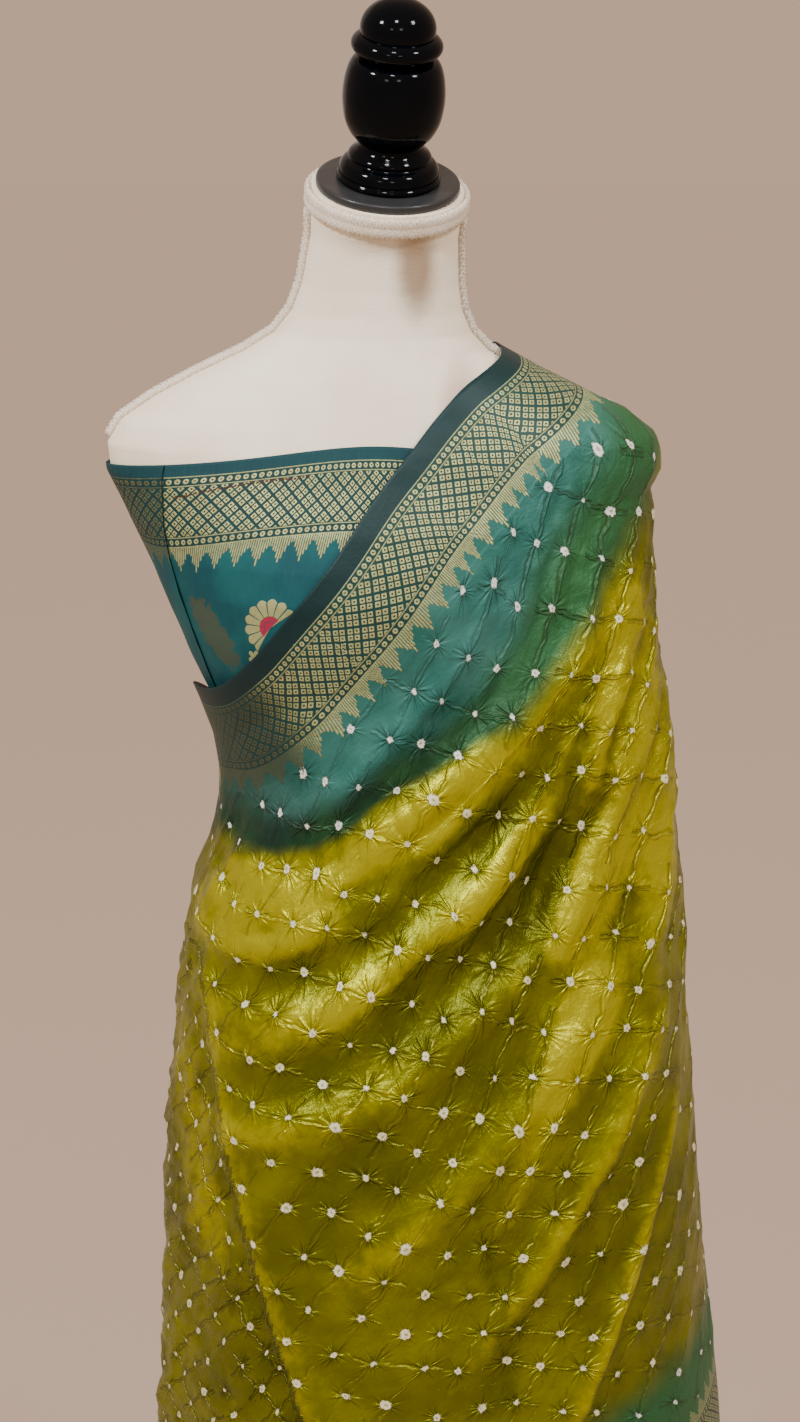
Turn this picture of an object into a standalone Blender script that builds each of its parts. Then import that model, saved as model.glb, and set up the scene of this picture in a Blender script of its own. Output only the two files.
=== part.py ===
"""A bandhani saree draped over a bust cloth on a dress form with a round foot.

Metres, +Z up. The front faces -Y, and the origin is the middle of the foot's underside.
Every cloth lies around the form's upright axis, so a place on it is a turn, a height and a
radius. A turn is in degrees from the front, through +X, to the back.
"""

import math

import bpy

COLLECTION = "draped_saree"

# Driving dimensions of the form and its stand
FORM_BOTTOM = 0.720
NECK_TOP = 1.465
NECK_RADIUS = 0.0560
NECK_LEAN_START = 1.345
NECK_SHIFT_FORWARD = 0.024
NECK_SHIFT_RIGHT = 0.0085
CAP_TILT_FORWARD = math.radians(20.0)
CAP_TILT_RIGHT = math.radians(4.0)
NECK_TOP_DEPTH = NECK_RADIUS * math.cos(CAP_TILT_FORWARD)
SEGMENTS = 40
FOOT_RADIUS = 0.190
FOOT_EDGE = 0.018
POLE_RADIUS = 0.0165
BOSS_TOP = 0.085
SEAT_GAP = 0.0003

# Cloth and trim
CLOTH_THICKNESS = 0.0020
BUST_THICKNESS = 0.0018
BUST_GAP = 0.0008
BUST_LAP_RISE = 0.0025
BUST_TOP = 1.259
BUST_TOP_RISE = 0.025
BUST_BOTTOM = 1.035
WRAP_GAP = 0.0078
SHOULDER_LIFT = 0.0038
BUST_LIFT = 0.0045
BUST_LIFT_FROM = 1.300
BUST_LIFT_OVER = 0.030
BUST_LIFT_TO = 385.0
BUST_LIFT_END = 415.0
BRAID_RADIUS = 0.0030
BRAID_GAP = 0.0005
RING_THICKNESS = 0.0036
RING_HEIGHT = 0.0150
WAVE_HEIGHT = 0.0090
WAVE_TOP = 0.950
WAVES_IN_A_TURN = 5
CLOTH_ROWS = 22
BEND_WEIGHT = 0.100
RING_SPACING = 0.040
STEP = 360.0 / SEGMENTS
HIDDEN_TO = 90.0

# The form, from its underside to its neck: height, half width, depth in front, depth behind
FORM_SECTIONS = (
    (0.720, 0.1460, 0.1050, 0.1180),
    (0.780, 0.1520, 0.1110, 0.1270),
    (0.850, 0.1460, 0.1090, 0.1220),
    (0.920, 0.1270, 0.0990, 0.1030),
    (0.990, 0.1120, 0.0920, 0.0880),
    (1.050, 0.1170, 0.1000, 0.0900),
    (1.110, 0.1410, 0.1180, 0.1000),
    (1.170, 0.1650, 0.1270, 0.1080),
    (1.220, 0.1870, 0.1160, 0.1080),
    (1.255, 0.2035, 0.1000, 0.1000),
    (1.275, 0.2055, 0.0930, 0.0940),
    (1.292, 0.1950, 0.0870, 0.0880),
    (1.309, 0.1700, 0.0810, 0.0830),
    (1.327, 0.1360, 0.0750, 0.0770),
    (1.344, 0.1000, 0.0690, 0.0710),
    (1.358, 0.0780, 0.0640, 0.0660),
    (1.375, 0.0655, 0.0600, 0.0610),
    (1.395, 0.0590, 0.0570, 0.0570),
    (1.430, 0.0546, 0.0534, 0.0540),
    (NECK_TOP, NECK_RADIUS, NECK_TOP_DEPTH, NECK_TOP_DEPTH),
)

# How far the right shoulder lies below the left: height, drop
SHOULDER_DROP = (
    (1.220, 0.000),
    (1.265, 0.008),
    (1.375, 0.008),
    (1.430, 0.000),
)

# The saree where it hangs clear of the form: height, left, right, front and back radius
HANG_SECTIONS = (
    (1.352, 0.030, 0.040, 0.030, 0.040),
    (1.325, 0.060, 0.110, 0.050, 0.070),
    (1.300, 0.080, 0.170, 0.075, 0.095),
    (1.250, 0.120, 0.202, 0.100, 0.116),
    (1.170, 0.140, 0.213, 0.128, 0.125),
    (1.070, 0.127, 0.225, 0.128, 0.124),
    (0.990, 0.120, 0.235, 0.124, 0.128),
    (0.920, 0.146, 0.242, 0.134, 0.138),
    (0.850, 0.157, 0.246, 0.145, 0.148),
    (0.730, 0.170, 0.256, 0.160, 0.160),
    (0.600, 0.179, 0.270, 0.172, 0.172),
    (0.430, 0.187, 0.291, 0.186, 0.186),
    (0.100, 0.196, 0.304, 0.198, 0.198),
)

# The first turn of the saree, tucked at the waist: height, half width, front, back
SKIRT_SECTIONS = (
    (1.050, 0.120, 0.090, 0.090),
    (0.850, 0.163, 0.116, 0.130),
    (0.780, 0.168, 0.122, 0.136),
    (0.600, 0.172, 0.138, 0.146),
    (0.100, 0.182, 0.170, 0.172),
)

# The saree's upper and lower edge along its length: turn, height of the edge
UPPER_EDGE = (
    (-54.0, 1.030),
    (150.0, 1.030),
    (240.0, 1.050),
    (270.0, 1.085),
    (302.0, 1.100),
    (320.0, 1.128),
    (333.0, 1.162),
    (344.0, 1.196),
    (359.0, 1.248),
    (375.0, 1.284),
    (393.0, 1.315),
    (405.0, 1.329),
    (425.0, 1.341),
    (450.0, 1.348),
    (478.0, 1.342),
    (500.0, 1.315),
    (515.0, 1.220),
    (531.0, 0.860),
)
LOWER_EDGE = (
    (-54.0, 0.120),
    (270.0, 0.110),
    (315.0, 0.140),
    (360.0, 0.250),
    (405.0, 0.370),
    (450.0, 0.430),
    (531.0, 0.480),
)

# Folds of the saree in front: left x, z, right x, z, sag in the middle, half width, height
FOLDS = (
    (-0.130, 1.020, 0.120, 1.190, 0.110, 0.016, 0.0060),
    (-0.130, 0.985, 0.165, 1.150, 0.130, 0.018, 0.0095),
    (-0.150, 0.930, 0.190, 1.110, 0.110, 0.020, 0.0095),
    (-0.150, 0.860, 0.205, 1.060, 0.090, 0.022, 0.0095),
    (-0.100, 0.770, 0.215, 0.990, 0.070, 0.024, 0.0085),
    (-0.040, 0.660, 0.225, 0.930, 0.050, 0.024, 0.0085),
    (0.040, 0.560, 0.235, 0.860, 0.030, 0.024, 0.0075),
    (0.120, 0.470, 0.245, 0.800, 0.020, 0.020, 0.0065),
)

# The lap in front on the left, whose right side lies over its left
# The knob below its ring: radius, height above its foot
KNOB_SECTIONS = (
    (0.0290, 0.0893),
    (0.0328, 0.0840),
    (0.0358, 0.0750),
    (0.0372, 0.0630),
    (0.0362, 0.0510),
    (0.0325, 0.0390),
    (0.0270, 0.0312),
    (0.0242, 0.0280),
    (0.0248, 0.0248),
    (0.0290, 0.0206),
    (0.0305, 0.0180),
    (0.0296, 0.0162),
    (0.0340, 0.0138),
    (0.0368, 0.0080),
    (0.0382, 0.0030),
    (0.0382, 0.0012),
    (0.0370, 0.0000),
)

LAP_X = -0.136
LAP_Z = 0.890
LAP_SLOPE = 0.100
LAP_CURVE = 0.350
LAP_LENGTH = 0.600
LAP_HEIGHT = 0.0080
LAP_WIDTH = 0.0100


def along(rows, place, column=1):
    """Read a column of a table between its rows, on a smooth curve."""
    step = 1 if rows[-1][0] > rows[0][0] else -1
    ordered = rows[::step]
    place = min(max(place, ordered[0][0]), ordered[-1][0])
    last = len(ordered) - 2
    k = min(max(sum(row[0] <= place for row in ordered) - 1, 0), last)
    before = ordered[max(k - 1, 0)]
    low = ordered[k]
    high = ordered[k + 1]
    after = ordered[min(k + 2, last + 1)]
    span = high[0] - low[0]
    slope_low = (high[column] - before[column]) / (high[0] - before[0])
    slope_high = (after[column] - low[column]) / (after[0] - low[0])
    t = (place - low[0]) / span
    return (
        (2 * t**3 - 3 * t**2 + 1) * low[column]
        + (t**3 - 2 * t**2 + t) * span * slope_low
        + (3 * t**2 - 2 * t**3) * high[column]
        + (t**3 - t**2) * span * slope_high
    )


def oval(turn, side, front, back):
    """The radius of an oval at a turn, from its half width and its two depths."""
    across = math.sin(math.radians(turn))
    ahead = math.cos(math.radians(turn))
    depth = front if ahead > 0 else back
    return 1.0 / math.sqrt((across / side) ** 2 + (ahead / depth) ** 2)


def form_rings():
    """The heights of the form's rings: its sections, and one between sections far apart."""
    rings = [FORM_SECTIONS[0][0]]
    for low, high in zip(FORM_SECTIONS, FORM_SECTIONS[1:]):
        if high[0] - low[0] > RING_SPACING:
            rings.append((low[0] + high[0]) / 2.0)
        rings.append(high[0])
    return rings


def ring_radius(turn, height):
    """The form's radius on a ring. Its right shoulder lies lower than its left."""
    lower = along(SHOULDER_DROP, height) if math.sin(math.radians(turn)) > 0 else 0.0
    side = along(FORM_SECTIONS, height + lower)
    return oval(turn, side, along(FORM_SECTIONS, height, 2), along(FORM_SECTIONS, height, 3))


def form_radius(turn, height):
    """The form's radius, straight between two rings as its faces are."""
    rings = form_rings()
    height = min(max(height, rings[0]), rings[-1])
    k = min(max(sum(ring <= height for ring in rings) - 1, 0), len(rings) - 2)
    share = (height - rings[k]) / (rings[k + 1] - rings[k])
    low = ring_radius(turn, rings[k])
    return low + (ring_radius(turn, rings[k + 1]) - low) * share


def neck_lean(height):
    """How far the neck has leaned at a height, from 0 at its root to 1 at its top."""
    share = (height - NECK_LEAN_START) / (NECK_TOP - NECK_LEAN_START)
    return max(0.0, share)


def form_point(turn, height, clear=0.0):
    """A point on the form's surface, or clear of it, with the neck's lean."""
    lean = neck_lean(height)
    radius = form_radius(turn, height) + clear
    x = radius * math.sin(math.radians(turn))
    y = -radius * math.cos(math.radians(turn))
    slope = math.tan(CAP_TILT_FORWARD) * y - math.tan(CAP_TILT_RIGHT) * x
    return (
        x + NECK_SHIFT_RIGHT * lean,
        y - NECK_SHIFT_FORWARD * lean**1.5,
        height + slope * lean**1.5,
    )


def hang_radius(turn, height):
    """The outer layer of the saree before its folds."""
    across = math.sin(math.radians(turn))
    side = along(HANG_SECTIONS, height, 2 if across > 0 else 1)
    front = along(HANG_SECTIONS, height, 3)
    back = along(HANG_SECTIONS, height, 4)
    return oval(turn, side, front, back)


def skirt_radius(turn, height):
    """The first turn of the saree, from the waist to the hem."""
    return oval(turn, *(along(SKIRT_SECTIONS, height, k) for k in (1, 2, 3)))


def fold_height(x, z):
    """How far the folds in front stand proud at a place seen from the front."""
    raised = 0.0
    for x0, z0, x1, z1, sag, half_width, height in FOLDS:
        share = (x - x0) / (x1 - x0)
        if not 0.0 < share < 1.0:
            continue
        line = z0 + (z1 - z0) * share - sag * 4.0 * share * (1.0 - share) * (1.0 - share)
        fade = math.sin(math.pi * share) ** 0.6
        raised += height * fade * math.exp(-(((z - line) / half_width) ** 2))
    return raised


def lap_height(x, z):
    """The step along the lap in front, which runs down and to the right."""
    drop = min(LAP_Z - z, LAP_LENGTH)
    if drop < 0.0:
        return 0.0
    line = LAP_X + LAP_SLOPE * drop + LAP_CURVE * drop * drop
    rise = 0.5 + 0.5 * math.tanh((x - line) / LAP_WIDTH)
    return LAP_HEIGHT * rise * min(1.0, drop / 0.1)


def wave(turn, height):
    """The soft upright folds of the hanging cloth, deeper towards the hem."""
    depth = min(max((WAVE_TOP - height) / WAVE_TOP, 0.0), 1.0)
    return WAVE_HEIGHT * depth * math.sin(math.radians(turn) * WAVES_IN_A_TURN)


def close_radius(turn, height):
    """The nearest that the saree lies to the form, resting on its shoulder seam."""
    lifted = form_radius(turn, height - SHOULDER_LIFT)
    return max(form_radius(turn, height), lifted) + WRAP_GAP


def saree_radius(turn, height):
    """The inner face of the saree: its first turn up to the left side, then its outer turn."""
    close = close_radius(turn, height)
    inner = max(close, skirt_radius(turn, height) + wave(turn, height))
    blend = min(max((turn - 225.0) / 60.0, 0.0), 1.0)
    blend = blend * blend * (3.0 - 2.0 * blend)
    if blend == 0.0:
        return inner
    over_bust = min(max((BUST_LIFT_FROM - height) / BUST_LIFT_OVER, 0.0), 1.0)
    over_bust *= min(max((BUST_LIFT_END - turn) / (BUST_LIFT_END - BUST_LIFT_TO), 0.0), 1.0)
    outer = max(close + BUST_LIFT * over_bust, hang_radius(turn, height))
    if turn > 285.0 and height < 1.2:
        x = outer * math.sin(math.radians(turn))
        facing = max(0.0, math.cos(math.radians(turn)))
        outer += (fold_height(x, height) + lap_height(x, height)) * min(1.0, facing * 3.0)
        outer += wave(1.6 * turn, height) * (1.0 - 0.7 * facing)
    return inner + (outer - inner) * blend


def neck_offset(height):
    """Where the upright axis of a cloth lies at a height, following the neck's root."""
    lean = neck_lean(height)
    return NECK_SHIFT_RIGHT * lean, -NECK_SHIFT_FORWARD * lean**1.5


def column(radius_at, turn, top, bottom, rows):
    """Points from the upper to the lower edge of a cloth at a turn, closer where it bends."""
    fine = 120
    walk = []
    for k in range(fine + 1):
        z = top + (bottom - top) * k / fine
        walk.append((radius_at(turn, z), z))
    reach = [0.0]
    heading = None
    for a, b in zip(walk, walk[1:]):
        ahead = math.atan2(b[0] - a[0], a[1] - b[1])
        bend = abs(ahead - heading) if heading is not None else 0.0
        heading = ahead
        step = math.hypot(b[0] - a[0], b[1] - a[1])
        reach.append(reach[-1] + step + BEND_WEIGHT * bend)
    points = []
    k = 0
    for row in range(rows + 1):
        wanted = reach[-1] * row / rows
        while k < fine - 1 and reach[k + 1] < wanted:
            k += 1
        share = (wanted - reach[k]) / (reach[k + 1] - reach[k])
        radius = walk[k][0] + (walk[k + 1][0] - walk[k][0]) * share
        z = walk[k][1] + (walk[k + 1][1] - walk[k][1]) * share
        x, y = neck_offset(z)
        points.append(
            (
                x + radius * math.sin(math.radians(turn)),
                y - radius * math.cos(math.radians(turn)),
                z,
            )
        )
    return points


def start_scene():
    for item in list(bpy.data.objects):
        bpy.data.objects.remove(item, do_unlink=True)
    collection = bpy.data.collections.new(COLLECTION)
    bpy.context.scene.collection.children.link(collection)
    return collection


def finish(name, colour, roughness, metallic=0.0):
    material = bpy.data.materials.new(name)
    material.use_nodes = True
    shader = material.node_tree.nodes["Principled BSDF"]
    shader.inputs["Base Color"].default_value = (*colour, 1.0)
    shader.inputs["Roughness"].default_value = roughness
    shader.inputs["Metallic"].default_value = metallic
    return material


def add_mesh(collection, name, points, faces, material):
    mesh = bpy.data.meshes.new(name)
    mesh.from_pydata(points, [], faces)
    mesh.update()
    mesh.materials.append(material)
    mesh.shade_smooth()
    item = bpy.data.objects.new(name, mesh)
    collection.objects.link(item)
    return item


def turned(collection, name, profile, steps, material):
    """A turned piece from a profile of (radius, height) that runs from top to bottom."""
    points = [(radius, 0.0, height) for radius, height in profile]
    mesh = bpy.data.meshes.new(name)
    mesh.from_pydata(points, [(k, k + 1) for k in range(len(points) - 1)], [])
    mesh.materials.append(material)
    item = bpy.data.objects.new(name, mesh)
    collection.objects.link(item)
    screw = item.modifiers.new("turn", "SCREW")
    screw.axis = "Z"
    screw.steps = steps
    screw.render_steps = steps
    screw.use_merge_vertices = True
    screw.merge_threshold = 0.00005
    screw.use_smooth_shade = True
    return item


def build_form(collection, material):
    """The foam form, one loft from its underside to the top of its neck."""
    rings = []
    for height in form_rings():
        rings.append([form_point(STEP * k, height) for k in range(SEGMENTS)])
    points = [point for ring in rings for point in ring]
    faces = []
    for level in range(len(rings) - 1):
        for k in range(SEGMENTS):
            here = level * SEGMENTS
            ahead = (k + 1) % SEGMENTS
            faces.append(
                (here + k, here + ahead, here + SEGMENTS + ahead, here + SEGMENTS + k)
            )
    faces.append(tuple(reversed(range(SEGMENTS))))
    top = (len(rings) - 1) * SEGMENTS
    faces.append(tuple(range(top, top + SEGMENTS)))
    form = add_mesh(collection, "dress_form", points, faces, material)
    form.data.set_sharp_from_angle(angle=math.radians(50))
    return form


def cloth(collection, name, columns, thickness, material):
    """An open sheet through its columns, thickened outwards."""
    rows = len(columns[0])
    points = [point for line in columns for point in line]
    faces = []
    for c in range(len(columns) - 1):
        for r in range(rows - 1):
            here = c * rows + r
            faces.append((here + 1, here + rows + 1, here + rows, here))
    item = add_mesh(collection, name, points, faces, material)
    wall = item.modifiers.new("thickness", "SOLIDIFY")
    wall.thickness = thickness
    wall.offset = 1.0
    wall.use_even_offset = False
    return item


def build_bust_cloth(collection, material):
    """The cloth wound once round the bust, its outer end lapped over at the left front."""
    start = -90.0
    turns = SEGMENTS + 3
    lines = []
    between = [z for z in form_rings() if BUST_BOTTOM < z < BUST_TOP]
    for k in range(turns + 1):
        turn = start + STEP * k
        clear = BUST_GAP + BUST_LAP_RISE * STEP * k / 360.0
        top = BUST_TOP + BUST_TOP_RISE * max(0.0, math.cos(math.radians(turn))) ** 1.3
        heights = [top, *reversed(between), BUST_BOTTOM]
        lines.append([form_point(turn, height, clear) for height in heights])
    return cloth(collection, "bust_cloth", lines, BUST_THICKNESS, material)


def build_saree(collection, material):
    """The saree: once round from the front, then up over the right shoulder and behind."""
    turn = UPPER_EDGE[0][0]
    lines = []
    while turn <= UPPER_EDGE[-1][0]:
        top = along(UPPER_EDGE, turn)
        bottom = along(LOWER_EDGE, turn)
        lines.append(column(saree_radius, turn, top, bottom, CLOTH_ROWS))
        turn += STEP if turn >= HIDDEN_TO else 2.0 * STEP
    return cloth(collection, "saree", lines, CLOTH_THICKNESS, material)


def seam_line(turn, low, high):
    """The middle of a seam braid, square off the form's faces, from the neck downwards."""
    heights = [ring for ring in form_rings() if low < ring < high]
    surface = [form_point(turn, height) for height in (high, *reversed(heights), low)]
    side = 1.0 if turn > 0 else -1.0
    slopes = []
    for a, b in zip(surface, surface[1:]):
        slopes.append(math.atan2(side * (b[0] - a[0]), a[2] - b[2]))
    centres = []
    for k, (x, y, z) in enumerate(surface):
        above = slopes[max(k - 1, 0)]
        below = slopes[min(k, len(slopes) - 1)]
        facing = (above + below) / 2.0
        reach = (BRAID_RADIUS + BRAID_GAP) / math.cos((above - below) / 2.0)
        centres.append((x + side * reach * math.cos(facing), y, z + reach * math.sin(facing)))
    return centres


def build_seam_braid(collection, name, turn, lowest, material):
    """The gimp braid sewn down the side of the neck and along the shoulder."""
    curve = bpy.data.curves.new(name, "CURVE")
    curve.dimensions = "3D"
    curve.bevel_depth = BRAID_RADIUS
    curve.bevel_resolution = 2
    curve.use_fill_caps = True
    spline = curve.splines.new("POLY")
    centres = seam_line(turn, lowest, NECK_TOP - RING_HEIGHT - 0.006)
    spline.points.add(len(centres) - 1)
    for point, centre in zip(spline.points, centres):
        point.co = (*centre, 1.0)
    curve.materials.append(material)
    item = bpy.data.objects.new(name, curve)
    collection.objects.link(item)
    return item


def build_neck_trim(collection, trim, black):
    """The braided ring, the cap and the turned knob, on the slanting top of the neck."""
    socket = bpy.data.objects.new("neck_top", None)
    socket.location = (NECK_SHIFT_RIGHT, -NECK_SHIFT_FORWARD, NECK_TOP)
    socket.rotation_euler = (CAP_TILT_FORWARD, CAP_TILT_RIGHT, 0.0)
    collection.objects.link(socket)
    inner = NECK_RADIUS + 0.0012
    outer = inner + RING_THICKNESS
    edge = 0.0012
    ring_profile = (
        (inner, -0.0005),
        (outer - edge, -0.0005),
        (outer, -0.0005 - edge),
        (outer, -RING_HEIGHT + edge),
        (outer - edge, -RING_HEIGHT),
        (inner, -RING_HEIGHT),
        (inner, -0.0005),
    )
    ring = turned(collection, "neck_braid", ring_profile, SEGMENTS, trim)
    cap_radius = 0.0530
    cap_height = 0.0062
    cap_profile = (
        (0.0, cap_height + SEAT_GAP),
        (cap_radius - 0.0015, cap_height + SEAT_GAP),
        (cap_radius, cap_height - 0.0015),
        (cap_radius, 0.0015 + SEAT_GAP),
        (cap_radius - 0.0015, SEAT_GAP),
        (0.0, SEAT_GAP),
    )
    cap = turned(collection, "neck_cap", cap_profile, 36, black)
    foot = cap_height + 2 * SEAT_GAP
    knob = turned(collection, "neck_knob", knob_profile(foot), 24, black)
    for item in (ring, cap, knob):
        item.parent = socket


def arc(radius, height, bulge_out, bulge_up, start, end, steps):
    """Points on an arc of an oval, with its angles in degrees from straight out."""
    points = []
    for k in range(steps + 1):
        angle = math.radians(start + (end - start) * k / steps)
        points.append(
            (radius + bulge_out * math.cos(angle), height + bulge_up * math.sin(angle))
        )
    return points


def knob_profile(foot):
    """The turned knob: dome, ring, barrel, waist and stepped foot, from top to bottom."""
    profile = [(0.0, foot + 0.1320)]
    profile += arc(0.0, foot + 0.1110, 0.0272, 0.0210, 72.0, -10.0, 5)
    profile += arc(0.0195, foot + 0.0993, 0.0135, 0.0088, 75.0, -68.0, 5)
    profile += [(radius, foot + height) for radius, height in KNOB_SECTIONS]
    profile += [(0.0, foot)]
    return profile


def build_stand(collection, black):
    """The pole and its round foot with a boss."""
    boss_radius = 0.0290
    foot_profile = (
        (0.0, BOSS_TOP),
        (boss_radius - 0.003, BOSS_TOP),
        (boss_radius, BOSS_TOP - 0.003),
        (boss_radius, 0.045),
        (boss_radius + 0.012, 0.032),
        (0.080, 0.026),
        (FOOT_RADIUS - 0.012, FOOT_EDGE),
        (FOOT_RADIUS - 0.003, FOOT_EDGE - 0.003),
        (FOOT_RADIUS, FOOT_EDGE - 0.008),
        (FOOT_RADIUS, 0.002),
        (FOOT_RADIUS - 0.002, 0.0),
        (0.0, 0.0),
    )
    turned(collection, "stand_foot", foot_profile, 40, black)
    pole_profile = (
        (0.0, FORM_BOTTOM - SEAT_GAP),
        (POLE_RADIUS, FORM_BOTTOM - SEAT_GAP),
        (POLE_RADIUS, BOSS_TOP + SEAT_GAP),
        (0.0, BOSS_TOP + SEAT_GAP),
    )
    turned(collection, "stand_pole", pole_profile, 20, black)


def main():
    collection = start_scene()
    jersey = finish("form_jersey", (0.80, 0.76, 0.69), 0.9)
    gimp = finish("gimp_braid", (0.83, 0.80, 0.74), 0.85)
    black = finish("black_lacquer", (0.012, 0.012, 0.013), 0.15)
    teal = finish("bust_silk", (0.020, 0.110, 0.120), 0.55)
    lime = finish("saree_silk", (0.330, 0.320, 0.020), 0.45)
    build_form(collection, jersey)
    build_neck_trim(collection, gimp, black)
    build_seam_braid(collection, "left_seam_braid", -90.0, 1.280, gimp)
    build_seam_braid(collection, "right_seam_braid", 90.0, 1.333, gimp)
    build_stand(collection, black)
    build_bust_cloth(collection, teal)
    build_saree(collection, lime)


main()
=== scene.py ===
"""Looks of a bandhani saree draped over a bust cloth on a dress form with a round foot.

Metres, +Z up, front towards -Y. A place on a cloth is a turn in degrees from the front,
through +X, to the back, with a height and a radius, as in the part's source.
"""

import math

import bpy
import numpy as np
from bpy.props import FloatProperty, FloatVectorProperty, PointerProperty
from bpy.types import Operator, Panel, PropertyGroup
from mathutils import Euler, Matrix, Vector
from mathutils.kdtree import KDTree


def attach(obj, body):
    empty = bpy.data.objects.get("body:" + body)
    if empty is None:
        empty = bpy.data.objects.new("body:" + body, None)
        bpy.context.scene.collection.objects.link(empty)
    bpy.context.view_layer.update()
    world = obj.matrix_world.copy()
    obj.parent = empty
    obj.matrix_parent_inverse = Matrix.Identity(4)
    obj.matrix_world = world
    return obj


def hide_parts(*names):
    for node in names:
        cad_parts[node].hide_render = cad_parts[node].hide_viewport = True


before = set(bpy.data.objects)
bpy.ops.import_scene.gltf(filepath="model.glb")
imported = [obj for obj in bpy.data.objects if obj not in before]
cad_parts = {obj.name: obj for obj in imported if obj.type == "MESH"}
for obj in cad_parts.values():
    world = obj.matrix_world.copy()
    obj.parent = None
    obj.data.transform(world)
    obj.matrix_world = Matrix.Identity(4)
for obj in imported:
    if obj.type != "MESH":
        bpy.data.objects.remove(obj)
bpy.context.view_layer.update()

bl_info = {
    "name": "Draped saree",
    "version": (1, 0, 0),
    "blender": (4, 5, 0),
    "location": "3D View > Sidebar > Saree",
    "description": "Builds a bandhani saree on its dress form around the packed part",
    "category": "Add Mesh",
}

# Sizes that the part's source gives
NECK_TOP = 1.465
NECK_RADIUS = 0.0560
NECK_LEAN_START = 1.345
NECK_SHIFT_FORWARD = 0.024
NECK_SHIFT_RIGHT = 0.0085
CAP_TILT_FORWARD = math.radians(20.0)
CAP_TILT_RIGHT = math.radians(4.0)
NECK_TOP_DEPTH = NECK_RADIUS * math.cos(CAP_TILT_FORWARD)
CLOTH_THICKNESS = 0.0020
BUST_THICKNESS = 0.0018
BUST_GAP = 0.0008
LAP_CLEARANCE = 0.0012
BUST_TOP = 1.259
BUST_TOP_RISE = 0.025
BUST_BOTTOM = 1.035
WRAP_GAP = 0.0078
SHOULDER_LIFT = 0.0038
BUST_LIFT = 0.0045
BUST_LIFT_FROM = 1.300
BUST_LIFT_OVER = 0.030
BUST_LIFT_TO = 385.0
BUST_LIFT_END = 415.0
BUST_START = -90.0
BUST_END = 293.0
FLOWER_TURN = -34.6
WAVE_HEIGHT = 0.0090
WAVE_TOP = 0.950
WAVES_IN_A_TURN = 5
RING_SPACING = 0.040
FOOT_RADIUS = 0.190
FOOT_EDGE = 0.018
POLE_RADIUS = 0.0165
BOSS_TOP = 0.085
BOSS_RADIUS = 0.0290
FORM_BOTTOM = 0.720
CAP_BOTTOM = 0.0003
CAP_TOP = 0.0065
CAP_RADIUS = 0.0530
SEAT_GAP = 0.0003

# The form: height, half width, depth in front, depth behind
FORM_SECTIONS = (
    (0.720, 0.1460, 0.1050, 0.1180),
    (0.780, 0.1520, 0.1110, 0.1270),
    (0.850, 0.1460, 0.1090, 0.1220),
    (0.920, 0.1270, 0.0990, 0.1030),
    (0.990, 0.1120, 0.0920, 0.0880),
    (1.050, 0.1170, 0.1000, 0.0900),
    (1.110, 0.1410, 0.1180, 0.1000),
    (1.170, 0.1650, 0.1270, 0.1080),
    (1.220, 0.1870, 0.1160, 0.1080),
    (1.255, 0.2035, 0.1000, 0.1000),
    (1.275, 0.2055, 0.0930, 0.0940),
    (1.292, 0.1950, 0.0870, 0.0880),
    (1.309, 0.1700, 0.0810, 0.0830),
    (1.327, 0.1360, 0.0750, 0.0770),
    (1.344, 0.1000, 0.0690, 0.0710),
    (1.358, 0.0780, 0.0640, 0.0660),
    (1.375, 0.0655, 0.0600, 0.0610),
    (1.395, 0.0590, 0.0570, 0.0570),
    (1.430, 0.0546, 0.0534, 0.0540),
    (NECK_TOP, NECK_RADIUS, NECK_TOP_DEPTH, NECK_TOP_DEPTH),
)

# How far the right shoulder lies below the left: height, drop
SHOULDER_DROP = (
    (1.220, 0.000),
    (1.265, 0.008),
    (1.375, 0.008),
    (1.430, 0.000),
)

# The saree where it hangs clear: height, left, right, front and back radius
HANG_SECTIONS = (
    (1.352, 0.030, 0.040, 0.030, 0.040),
    (1.325, 0.060, 0.110, 0.050, 0.070),
    (1.300, 0.080, 0.170, 0.075, 0.095),
    (1.250, 0.120, 0.202, 0.100, 0.116),
    (1.170, 0.140, 0.213, 0.128, 0.125),
    (1.070, 0.127, 0.225, 0.128, 0.124),
    (0.990, 0.120, 0.235, 0.124, 0.128),
    (0.920, 0.146, 0.242, 0.134, 0.138),
    (0.850, 0.157, 0.246, 0.145, 0.148),
    (0.730, 0.170, 0.256, 0.160, 0.160),
    (0.600, 0.179, 0.270, 0.172, 0.172),
    (0.430, 0.187, 0.291, 0.186, 0.186),
    (0.100, 0.196, 0.304, 0.198, 0.198),
)

# The first turn of the saree: height, half width, front, back
SKIRT_SECTIONS = (
    (1.050, 0.120, 0.090, 0.090),
    (0.850, 0.163, 0.116, 0.130),
    (0.780, 0.168, 0.122, 0.136),
    (0.600, 0.172, 0.138, 0.146),
    (0.100, 0.182, 0.170, 0.172),
)

# The saree's edges along its length: turn, height
UPPER_EDGE = (
    (-54.0, 1.030),
    (150.0, 1.030),
    (240.0, 1.050),
    (270.0, 1.085),
    (302.0, 1.100),
    (320.0, 1.128),
    (333.0, 1.162),
    (344.0, 1.196),
    (359.0, 1.248),
    (375.0, 1.284),
    (393.0, 1.315),
    (405.0, 1.329),
    (425.0, 1.341),
    (450.0, 1.348),
    (478.0, 1.342),
    (500.0, 1.315),
    (515.0, 1.220),
    (531.0, 0.860),
)
LOWER_EDGE = (
    (-54.0, 0.120),
    (270.0, 0.110),
    (315.0, 0.140),
    (360.0, 0.250),
    (405.0, 0.370),
    (450.0, 0.430),
    (531.0, 0.480),
)

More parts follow.
